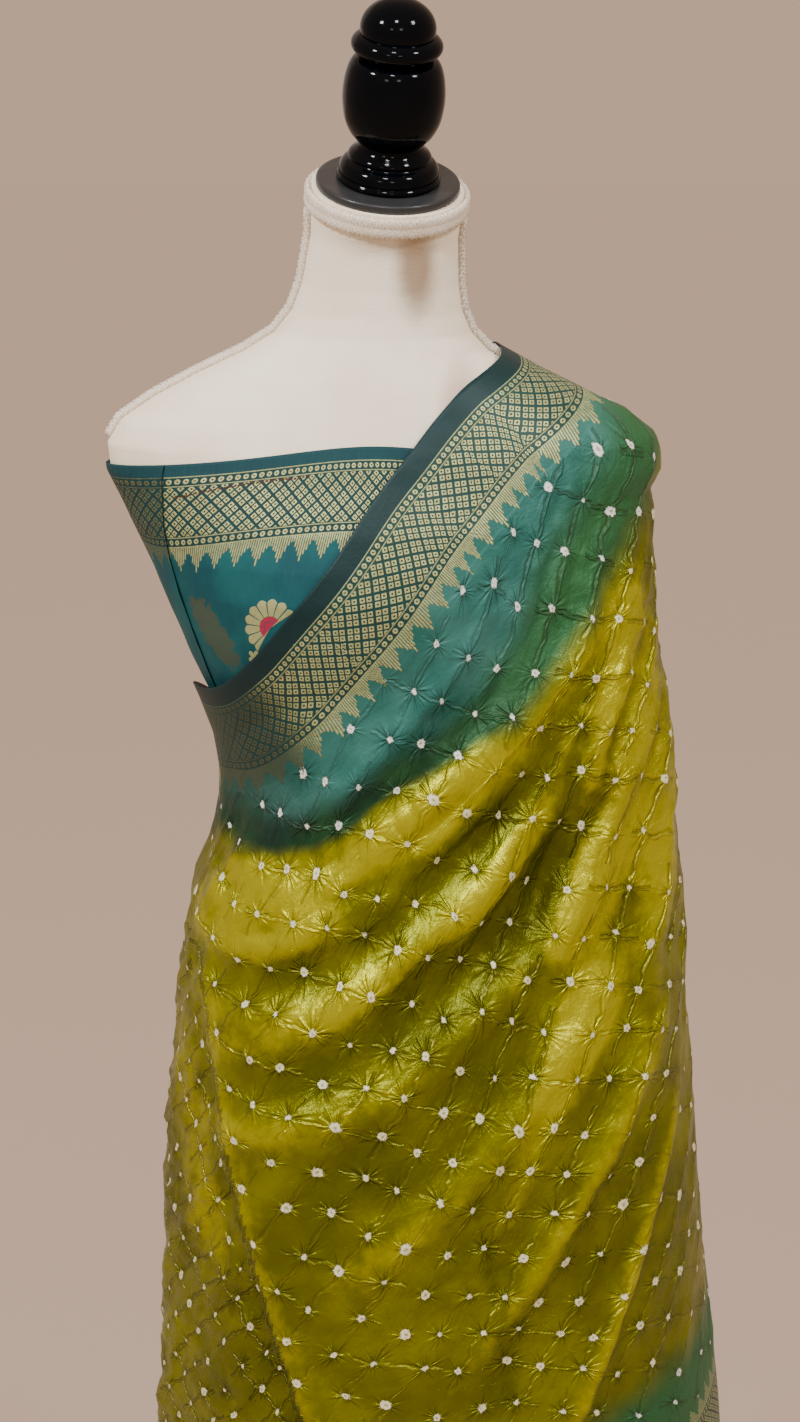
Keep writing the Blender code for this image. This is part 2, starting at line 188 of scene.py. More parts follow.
# Folds of the part in front: left x, z, right x, z, sag in the middle, half width, height
FOLDS = (
    (-0.130, 1.020, 0.120, 1.190, 0.110, 0.016, 0.0060),
    (-0.130, 0.985, 0.165, 1.150, 0.130, 0.018, 0.0095),
    (-0.150, 0.930, 0.190, 1.110, 0.110, 0.020, 0.0095),
    (-0.150, 0.860, 0.205, 1.060, 0.090, 0.022, 0.0095),
    (-0.100, 0.770, 0.215, 0.990, 0.070, 0.024, 0.0085),
    (-0.040, 0.660, 0.225, 0.930, 0.050, 0.024, 0.0085),
    (0.040, 0.560, 0.235, 0.860, 0.030, 0.024, 0.0075),
    (0.120, 0.470, 0.245, 0.800, 0.020, 0.020, 0.0065),
)
LAP_X = -0.136
LAP_Z = 0.890
LAP_SLOPE = 0.100
LAP_CURVE = 0.350
LAP_LENGTH = 0.600
LAP_HEIGHT = 0.0080
LAP_WIDTH = 0.0040

# Listed creases: height (minus for a furrow), half width, then turn and height of
# its start, middle and end
CREASES = (
    (0.0040, 0.013, 278, 0.975, 318, 0.930, 377, 0.985),
    (0.0035, 0.012, 284, 0.915, 318, 0.902, 350, 0.950),
    (0.0045, 0.016, 298, 0.824, 341, 0.845, 382, 0.950),
    (0.0055, 0.012, 412, 1.120, 389, 1.026, 366, 0.976),
    (0.0060, 0.012, 420, 1.110, 401, 0.993, 380, 0.905),
    (-0.0055, 0.011, 421, 1.100, 410, 0.973, 402, 0.880),
    (0.0050, 0.010, 428, 1.120, 420, 1.030, 414, 0.950),
    (0.0060, 0.015, 423, 1.168, 385, 1.040, 305, 0.968),
    (-0.0060, 0.013, 424, 1.150, 395, 1.010, 345, 0.948),
    (0.0055, 0.014, 436, 1.200, 413, 1.030, 370, 0.920),
    (-0.0055, 0.014, 436, 1.150, 410, 0.965, 367, 0.853),
    (0.0050, 0.013, 443, 1.130, 422, 0.985, 409, 0.885),
    (0.0060, 0.018, 419, 0.880, 406, 0.790, 384, 0.675),
    (-0.0035, 0.020, 432, 0.980, 420, 0.880, 400, 0.760),
    (0.0035, 0.016, 448, 1.080, 437, 0.930, 424, 0.800),
    (-0.0030, 0.006, 381, 0.808, 388, 0.660, 392, 0.520),
    (-0.0030, 0.016, 360, 0.930, 342, 0.890, 322, 0.868),
    (0.0035, 0.014, 300, 0.760, 330, 0.770, 365, 0.820),
)

# Where satin catches the light in front, or lies in shade: x, z to x, z, half width, share
SHEEN = (
    (-0.110, 0.955, 0.040, 1.005, 0.020, 0.45),
    (-0.080, 0.870, 0.060, 0.930, 0.016, 0.25),
    (0.172, 0.970, 0.156, 0.850, 0.028, 0.70),
    (0.156, 0.850, 0.098, 0.700, 0.024, 0.40),
    (0.185, 1.140, 0.205, 0.960, 0.030, 0.50),
    (-0.150, 0.800, -0.130, 0.660, 0.020, 0.30),
    (0.030, 0.930, 0.105, 0.800, 0.042, -0.45),
    (-0.060, 0.800, 0.080, 0.760, 0.050, -0.45),
    (0.060, 0.700, 0.040, 0.560, 0.050, -0.15),
)

# The knob below its ring: radius, height above its foot
KNOB_BARREL = (
    (0.0276, 0.0898),
    (0.0312, 0.0876),
    (0.0340, 0.0826),
    (0.0362, 0.0740),
    (0.0372, 0.0640),
    (0.0368, 0.0550),
    (0.0350, 0.0450),
    (0.0310, 0.0362),
    (0.0266, 0.0308),
    (0.0243, 0.0280),
)
KNOB_FOOT = (
    (0.0240, 0.0272),
    (0.0252, 0.0244),
    (0.0286, 0.0212),
    (0.0303, 0.0190),
    (0.0303, 0.0176),
    (0.0294, 0.0164),
    (0.0304, 0.0152),
    (0.0336, 0.0136),
    (0.0360, 0.0102),
    (0.0368, 0.0066),
    (0.0366, 0.0046),
    (0.0380, 0.0032),
    (0.0382, 0.0012),
    (0.0370, 0.0000),
)

# The border's parts from the edge inward, and what repeats along them
BAND = {"selvedge": 0.0165, "row": 0.0070, "lattice": 0.0385, "spike": 0.0200}
RING_PITCH = 0.0056
LATTICE_CELL = 0.0146
TOOTH_WIDTH = 0.0163
TOOTH_BARS = 9.0
TOOTH_SLANT = 0.16
DOT_ACROSS = 0.0305
DOT_SLANT = math.radians(58.0)
DOT_SHEAR = 0.364
# Step of the dots down a chain: place along the chain, step
DOT_STEPS = ((-1.40, 0.046), (-0.95, 0.046), (-0.70, 0.040), (-0.42, 0.033), (0.30, 0.032))


# Surfaces of the part


def along(rows, place, column=1):
    """Read a column of a table at an array of places, on a smooth curve."""
    table = np.array(rows, float)
    if table[0, 0] > table[-1, 0]:
        table = table[::-1]
    at, value = table[:, 0], table[:, column]
    place = np.clip(place, at[0], at[-1])
    k = np.clip(np.searchsorted(at, place, side="right") - 1, 0, len(at) - 2)
    before = np.maximum(k - 1, 0)
    after = np.minimum(k + 2, len(at) - 1)
    span = at[k + 1] - at[k]
    slope_low = (value[k + 1] - value[before]) / (at[k + 1] - at[before])
    slope_high = (value[after] - value[k]) / (at[after] - at[k])
    t = (place - at[k]) / span
    return (
        (2 * t**3 - 3 * t**2 + 1) * value[k]
        + (t**3 - 2 * t**2 + t) * span * slope_low
        + (3 * t**2 - 2 * t**3) * value[k + 1]
        + (t**3 - t**2) * span * slope_high
    )


def oval(turn, side, front, back):
    across = np.sin(np.radians(turn))
    ahead = np.cos(np.radians(turn))
    depth = np.where(ahead > 0, front, back)
    return 1.0 / np.sqrt((across / side) ** 2 + (ahead / depth) ** 2)


def form_rings():
    rings = [FORM_SECTIONS[0][0]]
    for low, high in zip(FORM_SECTIONS, FORM_SECTIONS[1:]):
        if high[0] - low[0] > RING_SPACING:
            rings.append((low[0] + high[0]) / 2.0)
        rings.append(high[0])
    return np.array(rings)


RINGS = form_rings()


def ring_radius(turn, height):
    """The form's radius on a ring. Its right shoulder lies lower than its left."""
    lower = np.where(np.sin(np.radians(turn)) > 0, along(SHOULDER_DROP, height), 0.0)
    side = along(FORM_SECTIONS, height + lower)
    return oval(turn, side, along(FORM_SECTIONS, height, 2), along(FORM_SECTIONS, height, 3))


def form_radius(turn, height):
    """The form's radius, straight between two rings as the part's faces are."""
    height = np.clip(height, RINGS[0], RINGS[-1])
    k = np.clip(np.searchsorted(RINGS, height, side="right") - 1, 0, len(RINGS) - 2)
    share = (height - RINGS[k]) / (RINGS[k + 1] - RINGS[k])
    low = ring_radius(turn, RINGS[k])
    return low + (ring_radius(turn, RINGS[k + 1]) - low) * share


def neck_lean(height):
    return np.maximum(0.0, (height - NECK_LEAN_START) / (NECK_TOP - NECK_LEAN_START))


def form_point(turn, height, clear=0.0, smooth=False):
    """Points on the form's surface, or clear of it, with the neck's lean."""
    lean = neck_lean(height)
    radius = (ring_radius if smooth else form_radius)(turn, height) + clear
    x = radius * np.sin(np.radians(turn))
    y = -radius * np.cos(np.radians(turn))
    slope = math.tan(CAP_TILT_FORWARD) * y - math.tan(CAP_TILT_RIGHT) * x
    return np.stack(
        (
            x + NECK_SHIFT_RIGHT * lean,
            y - NECK_SHIFT_FORWARD * lean**1.5,
            height + slope * lean**1.5,
        ),
        axis=-1,
    )


def hang_radius(turn, height):
    right = np.sin(np.radians(turn)) > 0
    side = np.where(
        right, along(HANG_SECTIONS, height, 2), along(HANG_SECTIONS, height, 1)
    )
    return oval(turn, side, along(HANG_SECTIONS, height, 3), along(HANG_SECTIONS, height, 4))


def skirt_radius(turn, height):
    return oval(turn, *(along(SKIRT_SECTIONS, height, k) for k in (1, 2, 3)))


def fold_height(x, z):
    raised = np.zeros_like(x)
    for x0, z0, x1, z1, sag, half_width, height in FOLDS:
        share = np.clip((x - x0) / (x1 - x0), 0.0, 1.0)
        line = z0 + (z1 - z0) * share - sag * 4.0 * share * (1.0 - share) * (1.0 - share)
        fade = np.sin(math.pi * share) ** 0.6
        raised += height * fade * np.exp(-(((z - line) / half_width) ** 2))
    return raised


def lap_side(x, z):
    """How far a place lies to the right of the lap line, and how far below its start."""
    drop = np.clip(LAP_Z - z, 0.0, LAP_LENGTH)
    line = LAP_X + LAP_SLOPE * drop + LAP_CURVE * drop * drop
    return x - line, drop


def lap_height(x, z):
    side, drop = lap_side(x, z)
    rise = 0.5 + 0.5 * np.tanh(side / LAP_WIDTH)
    return LAP_HEIGHT * rise * np.minimum(1.0, drop / 0.1)


def wave(turn, height):
    depth = np.clip((WAVE_TOP - height) / WAVE_TOP, 0.0, 1.0)
    return WAVE_HEIGHT * depth * np.sin(np.radians(turn) * WAVES_IN_A_TURN)


def close_radius(turn, height):
    lifted = form_radius(turn, height - SHOULDER_LIFT)
    return np.maximum(form_radius(turn, height), lifted) + WRAP_GAP


def smooth_step(value, low, high):
    t = np.clip((value - low) / (high - low), 0.0, 1.0)
    return t * t * (3.0 - 2.0 * t)


def saree_radius(turn, height):
    """The inner face of the part's saree, on its first turn and its outer turn."""
    close = close_radius(turn, height)
    inner = np.maximum(close, skirt_radius(turn, height) + wave(turn, height))
    blend = smooth_step(turn, 225.0, 285.0)
    over_bust = np.clip((BUST_LIFT_FROM - height) / BUST_LIFT_OVER, 0.0, 1.0)
    over_bust = over_bust * np.clip(
        (BUST_LIFT_END - turn) / (BUST_LIFT_END - BUST_LIFT_TO), 0.0, 1.0
    )
    outer = np.maximum(close + BUST_LIFT * over_bust, hang_radius(turn, height))
    facing = np.maximum(0.0, np.cos(np.radians(turn)))
    x = outer * np.sin(np.radians(turn))
    folds = (fold_height(x, height) + lap_height(x, height)) * np.minimum(1.0, facing * 3.0)
    folds = folds + wave(1.6 * turn, height) * (1.0 - 0.7 * facing)
    outer = outer + np.where((turn > 285.0) & (height < 1.2), folds, 0.0)
    return inner + (outer - inner) * blend


# Seeded roughness


def value_noise(x, y, seed):
    """Smooth noise from -1 to 1 on a grid of seeded values one unit apart."""
    table = np.random.default_rng(seed).uniform(-1.0, 1.0, (64, 64))
    i, j = np.floor(x).astype(int), np.floor(y).astype(int)
    s, t = x - i, y - j
    s, t = s * s * (3 - 2 * s), t * t * (3 - 2 * t)
    a, b = table[i % 64, j % 64], table[(i + 1) % 64, j % 64]
    c, d = table[i % 64, (j + 1) % 64], table[(i + 1) % 64, (j + 1) % 64]
    return (a * (1 - s) + b * s) * (1 - t) + (c * (1 - s) + d * s) * t


# Mesh helpers


def grid_object(name, points, wrap=False):
    """A sheet through a grid of points, whose first index runs along and second across."""
    count, rows = points.shape[:2]
    columns = np.arange(count if wrap else count - 1)
    c, r = np.meshgrid(columns, np.arange(rows - 1), indexing="ij")
    ahead = (c + 1) % count
    quads = np.stack(
        (c * rows + r + 1, ahead * rows + r + 1, ahead * rows + r, c * rows + r), axis=-1
    ).reshape(-1, 4)
    mesh = bpy.data.meshes.new(name)
    mesh.from_pydata(points.reshape(-1, 3), [], quads)
    mesh.update()
    mesh.shade_smooth()
    item = bpy.data.objects.new(name, mesh)
    bpy.context.scene.collection.objects.link(item)
    return item


def add_uv(item, name, pairs):
    """A UV map from one pair of numbers for each vertex."""
    mesh = item.data
    corner = np.zeros(len(mesh.loops), np.int32)
    mesh.loops.foreach_get("vertex_index", corner)
    layer = mesh.uv_layers.new(name=name)
    layer.data.foreach_set("uv", pairs.reshape(-1, 2)[corner].astype(np.float32).ravel())


def add_value(item, name, numbers):
    layer = item.data.attributes.new(name, "FLOAT", "POINT")
    layer.data.foreach_set("value", numbers.astype(np.float32).ravel())


def keep_only(item):
    bpy.ops.object.select_all(action="DESELECT")
    item.select_set(True)
    bpy.context.view_layer.objects.active = item


def grid_normals(points):
    """Outward normals of a grid of points."""
    a = np.gradient(points, axis=0)
    b = np.gradient(points, axis=1)
    normal = np.cross(b, a)
    return normal / (np.linalg.norm(normal, axis=-1, keepdims=True) + 1e-12)


def turned_piece(name, profile, steps, place=None):
    """A piece turned in edit mode: one vertex drawn along a profile, then spun round."""
    bpy.ops.object.select_all(action="DESELECT")
    bpy.ops.mesh.primitive_plane_add(size=0.001)
    item = bpy.context.active_object
    item.name = name
    item.data.name = name
    bpy.ops.object.mode_set(mode="EDIT")
    bpy.ops.mesh.select_all(action="SELECT")
    bpy.ops.mesh.merge(type="CENTER")
    at = Vector((profile[0][0], 0.0, profile[0][1]))
    bpy.ops.transform.translate(value=at)
    for radius, height in profile[1:]:
        to = Vector((radius, 0.0, height))
        bpy.ops.mesh.extrude_vertices_move(TRANSFORM_OT_translate={"value": to - at})
        at = to
    bpy.ops.mesh.select_all(action="SELECT")
    bpy.ops.mesh.spin(steps=steps, angle=math.tau, center=(0, 0, 0), axis=(0, 0, 1))
    bpy.ops.mesh.select_all(action="SELECT")
    bpy.ops.mesh.remove_doubles(threshold=0.00002)
    bpy.ops.mesh.normals_make_consistent(inside=False)
    bpy.ops.object.mode_set(mode="OBJECT")
    keep_only(item)
    bpy.ops.object.shade_smooth_by_angle(angle=math.radians(40))
    if place is not None:
        item.data.transform(place)
    return item


def dress(item, material, slot, *nodes):
    """Give a piece its finish and its body, and hide the node it stands for. Its slot is not used."""
    item.data.materials.clear()
    item.data.materials.append(material)
    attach(item, "root")
    if nodes:
        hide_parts(*nodes)
    return item


# Shader helpers


class Wire:
    """A shader socket that can be written in sums."""

    def __init__(self, shader, socket):
        self.shader = shader
        self.socket = socket

    def math(self, operation, *others):
        return self.shader.node(
            "ShaderNodeMath", {"operation": operation}, dict(enumerate((self, *others)))
        )

    def swapped(self, operation, other):
        return self.shader.node(
            "ShaderNodeMath", {"operation": operation}, {0: other, 1: self}
        )

    def __add__(self, other):
        return self.math("ADD", other)

    __radd__ = __add__

    def __sub__(self, other):
        return self.math("SUBTRACT", other)

    def __rsub__(self, other):
        return self.swapped("SUBTRACT", other)

    def __mul__(self, other):
        return self.math("MULTIPLY", other)

    __rmul__ = __mul__

    def __truediv__(self, other):
        return self.math("DIVIDE", other)

    def __rtruediv__(self, other):
        return self.swapped("DIVIDE", other)

    def __pow__(self, other):
        return self.math("POWER", other)

    def __neg__(self):
        return self * -1.0

    def __abs__(self):
        return self.math("ABSOLUTE")

    def __gt__(self, other):
        return self.math("GREATER_THAN", other)

    def __lt__(self, other):
        return self.math("LESS_THAN", other)

    def step(self, low, high):
        """0 below low, 1 above high and smooth between."""
        settings = {"interpolation_type": "SMOOTHSTEP"}
        return self.shader.node(
            "ShaderNodeMapRange", settings, {0: self, 1: low, 2: high, 3: 0.0, 4: 1.0}
        )

    def between(self, low, high, edge):
        return self.step(low - edge, low + edge) * (1.0 - self.step(high - edge, high + edge))


class Finish:
    """A material that is put together node by node."""

    def __init__(self, name, **constants):
        self.material = bpy.data.materials.new(name)
        self.material.use_nodes = True
        self.tree = self.material.node_tree
        self.surface = self.tree.nodes["Principled BSDF"]
        for socket, value in constants.items():
            self.surface.inputs[socket.replace("_", " ")].default_value = value

    def node(self, kind, settings, sockets, output=0):
        made = self.tree.nodes.new(kind)
        for name, value in settings.items():
            if name == "stops":
                ramp = made.color_ramp
                while len(ramp.elements) < len(value):
                    ramp.elements.new(1.0)
                for element, (place, colour) in zip(ramp.elements, value):
                    element.position = place
                    element.color = (*colour, 1.0)
            else:
                setattr(made, name, value)
        for socket, value in sockets.items():
            if isinstance(value, Wire):
                self.tree.links.new(value.socket, made.inputs[socket])
            else:
                made.inputs[socket].default_value = value
        if output is None:
            return [Wire(self, socket) for socket in made.outputs]
        return Wire(self, made.outputs[output])

    def uv(self, name):
        pair = self.node("ShaderNodeUVMap", {"uv_map": name}, {})
        return self.node("ShaderNodeSeparateXYZ", {}, {0: pair}, None)[:2]

    def value(self, name):
        return self.node("ShaderNodeAttribute", {"attribute_name": name}, {}, "Fac")

    def place(self):
        return self.node("ShaderNodeTexCoord", {}, {}, "Object")

    def vector(self, x, y, z=0.0):
        return self.node("ShaderNodeCombineXYZ", {}, {0: x, 1: y, 2: z})

    def noise(self, vector, scale, detail=2.0, roughness=0.5, distortion=0.0):
        return self.node(
            "ShaderNodeTexNoise",
            {},
            {
                "Vector": vector,
                "Scale": scale,
                "Detail": detail,
                "Roughness": roughness,
                "Distortion": distortion,
            },
        )

    def chance(self, vector):
        return self.node("ShaderNodeTexWhiteNoise", {"noise_dimensions": "2D"}, {"Vector": vector})

    def mix(self, share, a, b, blend="MIX"):
        a = (*a, 1.0) if isinstance(a, tuple) and len(a) == 3 else a
        b = (*b, 1.0) if isinstance(b, tuple) and len(b) == 3 else b
        settings = {"data_type": "RGBA", "blend_type": blend}
        return self.node("ShaderNodeMix", settings, {0: share, 6: a, 7: b}, 2)

    def bump(self, height, distance, strength=1.0):
        sockets = {"Height": height, "Distance": distance, "Strength": strength}
        return self.node("ShaderNodeBump", {}, sockets, "Normal")

    def set(self, **links):
        for socket, wire in links.items():
            self.tree.links.new(wire.socket, self.surface.inputs[socket.replace("_", " ")])
        return self.material


def linear(red, green, blue):
    """A colour in the shader's terms from the usual 0 to 255."""
    out = []
    for value in (red, green, blue):
        value /= 255.0
        out.append(value / 12.92 if value <= 0.04045 else ((value + 0.055) / 1.055) ** 2.4)
    return tuple(out)


def zari(finish, u, v, painted_turn_shade):
    """The woven gold border: how much gold shows, how bright it is and how far it stands up."""
    selvedge, row = BAND["selvedge"], BAND["row"]
    lattice, spike = BAND["lattice"], BAND["spike"]
    top = selvedge + row
    low = top + lattice
    end = low + row

    def circles(middle):
        s = (u / RING_PITCH).math("FRACT") - 0.5
        t = (v - middle) / RING_PITCH
        r = (s * s + t * t).math("SQRT")
        return r.step(0.09, 0.14) * (1.0 - r.step(0.31, 0.38))

    def line(at, half):
        broken = 0.55 + 0.45 * ((u / 0.0011).math("FRACT") < 0.6)
        return (1.0 - abs(v - at).step(half * 0.6, half * 1.4)) * broken

    s = ((u + v) / LATTICE_CELL).math("FRACT") - 0.5
    t = ((u - v) / LATTICE_CELL).math("FRACT") - 0.5
    arms = abs(s).step(0.034, 0.072) * abs(t).step(0.034, 0.072)
    body = (1.0 - abs(s).step(0.380, 0.420)) * (1.0 - abs(t).step(0.380, 0.420))
    a = abs(abs(s) - 0.225)
    b = abs(abs(t) - 0.225)
    eye = 1.0 - (a * a + b * b).math("SQRT").step(0.052, 0.092)
    floret = body * arms * (1.0 - eye)
    inside = v.between(top + 0.0008, low - 0.0008, 0.0003)
    rows = circles(selvedge + row * 0.5) * v.between(selvedge, top, 0.0003)
    rows = rows + circles(low + row * 0.5) * v.between(low, end, 0.0003)
    lines = line(selvedge, 0.0004) + line(top, 0.0004) + line(low, 0.0004) + line(end, 0.0004)
    slanted = (u + TOOTH_SLANT * (v - end)) / TOOTH_WIDTH
    s = slanted.math("FRACT") * TOOTH_BARS
    bar = s.math("FLOOR")
    jitter = finish.chance(finish.vector(bar, slanted.math("FLOOR")))
    rise = 1.0 - abs(bar - 4.0) / 4.6
    length = 0.0030 + spike * (0.72 * rise**1.2 + 0.12 * jitter)
    gap = abs(s.math("FRACT") - 0.5)
    spikes = (v > end) * (1.0 - (v - end - length).step(-0.0005, 0.0005))
    spikes = spikes * (1.0 - 0.95 * gap.step(0.24, 0.38))
    gold = (floret * inside + rows + lines + spikes).math("MINIMUM", 1.0)
    shade = finish.noise(finish.vector(u * 60.0, v * 60.0), 3.0, 3.0)
    thread = finish.noise(finish.vector(u * 2600.0, v * 500.0), 1.0, 1.0)
    hue = finish.noise(finish.vector(u * 330.0 + 9.0, v * 330.0), 1.0, 2.0)
    # Painted shade lowers the gold's brightness where the cloth turns away
    bright = (0.50 + 0.5 * shade + 0.70 * (thread - 0.5)) * (1.0 - painted_turn_shade)
    return gold, bright, hue, v.between(selvedge, end, 0.0004) + spikes


STUDIO = (0.612, 0.426, 0.306)
FLOWER_PITCH = 0.098
FLOWER_DEPTH = 0.130
FLOWER_TILT = math.radians(40.0)
GOLD = linear(200, 206, 144)
GOLD_DEEP = linear(112, 116, 70)
GOLD_DULL_AND_SHADED = linear(80, 76, 44)


def gold_colour(finish, bright, hue):
    rich = finish.mix(bright.step(0.35, 1.0), GOLD_DEEP, GOLD)
    rich = finish.mix(hue.step(0.56, 0.72) * 0.55, rich, linear(206, 138, 70))
    rich = finish.mix((1.0 - hue.step(0.30, 0.46)) * 0.50, rich, linear(168, 190, 126))
    # Dim gold where brightness is low: random tone, and painted shade where the cloth turns away
    return finish.mix(1.0 - bright.step(0.05, 0.5), rich, GOLD_DULL_AND_SHADED)


def saree_material(sizes):
    finish = Finish("saree_silk", Specular_IOR_Level=0.30)
    u, v = finish.uv("upper")
    s, w = finish.uv("lower")
    p, q = finish.uv("dots")
    dye = finish.value("dye")
    crest = finish.value("crest")
    pace = finish.value("pace")
    rumpled = finish.value("rumpled")
    turn = finish.value("turn")
    under = finish.value("under").step(-0.0002, 0.0010)
    where = finish.place()
    soft = finish.noise(where, 22.0, 3.0)
    cloud = finish.noise(where, 7.0, 3.0, 0.6)

    # Ground colours: teal beside the borders, green where the dyes meet, then lime; the green is
    # darker on the left as painted shade and lighter on the right as painted light
    right = turn.step(370.0, 415.0)
    edge = (dye + (soft - 0.5) * 0.018 + (cloud - 0.5) * 0.020) / (0.010 + 0.011 * right)
    teal = finish.mix(cloud.step(0.35, 0.7), tuple(sizes.teal), tuple(sizes.teal_light))
    green = finish.mix(soft.step(0.35, 0.7), linear(12, 50, 32), linear(28, 74, 40))
    # Painted light: the green is made lighter on the right
    green = finish.mix(right * 0.9, green, linear(44, 100, 58))
    lime = finish.mix(
        (cloud * 0.5 + soft * 0.5).step(0.38, 0.66), tuple(sizes.lime_deep), tuple(sizes.lime)
    )
    # Painted highlight on fold ridges and sheen bands, painted shade in furrows and shaded bands
    lit = crest + (finish.noise(where, 60.0, 4.0, 0.65) - 0.5) * 0.7
    lime = finish.mix(lit.step(0.50, 1.05) * 0.55, lime, linear(214, 210, 26))
    lime = finish.mix((1.0 - lit.step(-0.05, 0.42)) * 0.50, lime, linear(70, 74, 0))
    ground = finish.mix(edge.step(-5.0, -2.0), teal, green)
    ground = finish.mix(edge.step(-1.0, 1.0), ground, lime)
    shadow_side = (1.0 - turn.step(315.0, 350.0)) * (turn > 268.0)
    ground = finish.mix(shadow_side * (1.0 - edge.step(-2.0, 1.0)) * 0.6, ground, linear(12, 52, 46))
    plain = v.step(BAND["selvedge"] - 0.001, BAND["selvedge"])
    ground = finish.mix((1.0 - plain) * 0.92, ground, linear(3, 34, 40))

    # The tied dots, each a small uneven ring, with puckers and cords between them
    cell_p, cell_q = p.math("FLOOR"), q.math("FLOOR")
    cell = finish.vector(cell_p, cell_q)
    luck = finish.chance(cell)
    luck_p = finish.chance(finish.vector(cell_p + 31.5, cell_q + 7.5))
    luck_q = finish.chance(finish.vector(cell_p + 5.5, cell_q + 47.5))
    a = (p - cell_p - 0.5) * DOT_ACROSS
    level = (q - cell_q - 0.5) * pace
    b = level - DOT_SHEAR * a
    ragged = (finish.noise(where, 420.0, 3.0, 0.65) - 0.5) * 0.0052
    c = a + (luck_q - 0.5) * 0.0080
    d = b + (luck_p - 0.5) * 0.0110
    r = (c * c + d * d).math("SQRT") + ragged
    size = 0.0020 + 0.0022 * luck**1.5
    tied = (dye > -0.120) * v.step(0.083, 0.086) * w.step(0.088, 0.091)
    fleck = finish.noise(where, 900.0, 2.0)
    ring = (1.0 - (r - size).step(-0.0004, 0.0005)) * tied
    eye = (1.0 - (r - size * 0.30).step(-0.0003, 0.0004)) * (luck > 0.45)
    white = (ring * (0.92 + 0.9 * (fleck - 0.5))).math("MINIMUM", 1.0)
    angle = d.math("ARCTAN2", c)
    spread = finish.noise(finish.vector(cell_p * 3.1 + angle, cell_q * 2.7), 2.4, 1.0)
    rays = (angle * 5.0 + spread * 11.0 + luck * 30.0).math("SINE")
    reach = (-(r / (0.0050 + 0.0045 * luck_p))).math("EXPONENT")
    pucker = rays * reach * (r - size).step(-0.0008, 0.0004)
    bend = (finish.noise(finish.vector(p * 0.9, q * 0.9), 2.2, 2.0) - 0.5) * 0.012
    gate_p = luck_p.step(0.30, 0.50) * (0.35 + 0.65 * rumpled)
    gate_q = luck_q.step(0.15, 0.35) * (0.35 + 0.65 * rumpled)

    def cord(gap, wide):
        return (-((gap / wide) ** 2.0)).math("EXPONENT")

    away = r.step(0.003, 0.009)
    cords = cord(a + bend, 0.0010) * gate_q + cord(level + bend, 0.0010) * gate_p
    cords = cords.math("MINIMUM", 1.0) * away
    shaded = cord(a + bend + 0.0019, 0.0011) * gate_q + cord(level + bend + 0.0019, 0.0011) * gate_p
    shaded = shaded.math("MINIMUM", 1.0) * away * tied
    tied_lift = tied * (cords * 0.0012 - shaded * 0.0006 + pucker * 0.0016 + ring * 0.0009)

    crumple = finish.noise(where, 95.0, 4.0, 0.62, 0.6)
    fine = finish.noise(where, 300.0, 2.0, 0.5)
    weave = finish.noise(finish.vector(u * 320.0, v * 2400.0), 1.0, 1.0)
    ground = finish.mix(shaded * 0.50, ground, linear(34, 40, 6))
    # Painted shade in the pucker troughs round the dots
    ground = finish.mix(tied * (pucker * -1.0).step(0.15, 0.75) * 0.45, ground, linear(50, 54, 4))
    # Painted highlight: a pale tint along the raised cords in the lime
    ground = finish.mix(tied * cords * 0.10 * dye.step(0.0, 0.02), ground, linear(226, 220, 120))
    cream = finish.mix(dye.step(-0.01, 0.01), linear(236, 242, 236), linear(238, 236, 196))
    ground = finish.mix(white, ground, cream)
    ground = finish.mix(ring * eye * 0.70, ground, linear(128, 124, 66))

    # Woven gold at both edges, darkened with painted shade where the cloth turns away on the left
    painted_turn_shade = (1.0 - (turn - (v - 0.030) * 300.0).step(312.0, 332.0)) * (turn > 280.0) * 0.92
    upper, upper_light, upper_hue, upper_woven = zari(finish, u, v, painted_turn_shade)
    lower, lower_light, lower_hue, lower_woven = zari(finish, s, w, 0.0)
    near = v < 0.15
    thread = (upper + lower * (1.0 - near)).math("MINIMUM", 1.0)
    light = upper_light * near + lower_light * (1.0 - near)
    hue = upper_hue * near + lower_hue * (1.0 - near)
    woven = upper_woven * near + lower_woven * (1.0 - near)
    ground = finish.mix(woven * 0.85, ground, linear(12, 48, 48))
    ground = finish.mix(thread * (0.94 - 0.35 * painted_turn_shade), ground, gold_colour(finish, light, hue))
    # Painted shade: the layer under the lap is darkened
    ground = finish.mix(under * 0.12, ground, linear(60, 56, 0))

    height = tied_lift + crumple * (0.0003 + 0.0009 * rumpled) * tied
    pulled = finish.noise(finish.vector(p * 3.4, q * 1.3), 1.0, 4.0, 0.6, 0.8)
    height = height + pulled * 0.0016 * (dye > -0.06)
    height = height + fine * 0.00022 + weave * 0.00007 + thread * 0.00022
    normal = finish.bump(height, 1.0, 1.0)
    satin = dye.step(-0.03, 0.01)
    return finish.set(
        Base_Color=ground,
        Roughness=0.50 - 0.16 * satin + 0.10 * (soft - 0.5) + 0.25 * white,
        Metallic=(0.16 + 0.44 * satin) * (1.0 - white) * (1.0 - thread) + thread * 0.45 * (1.0 - painted_turn_shade),
        Normal=normal,
    )


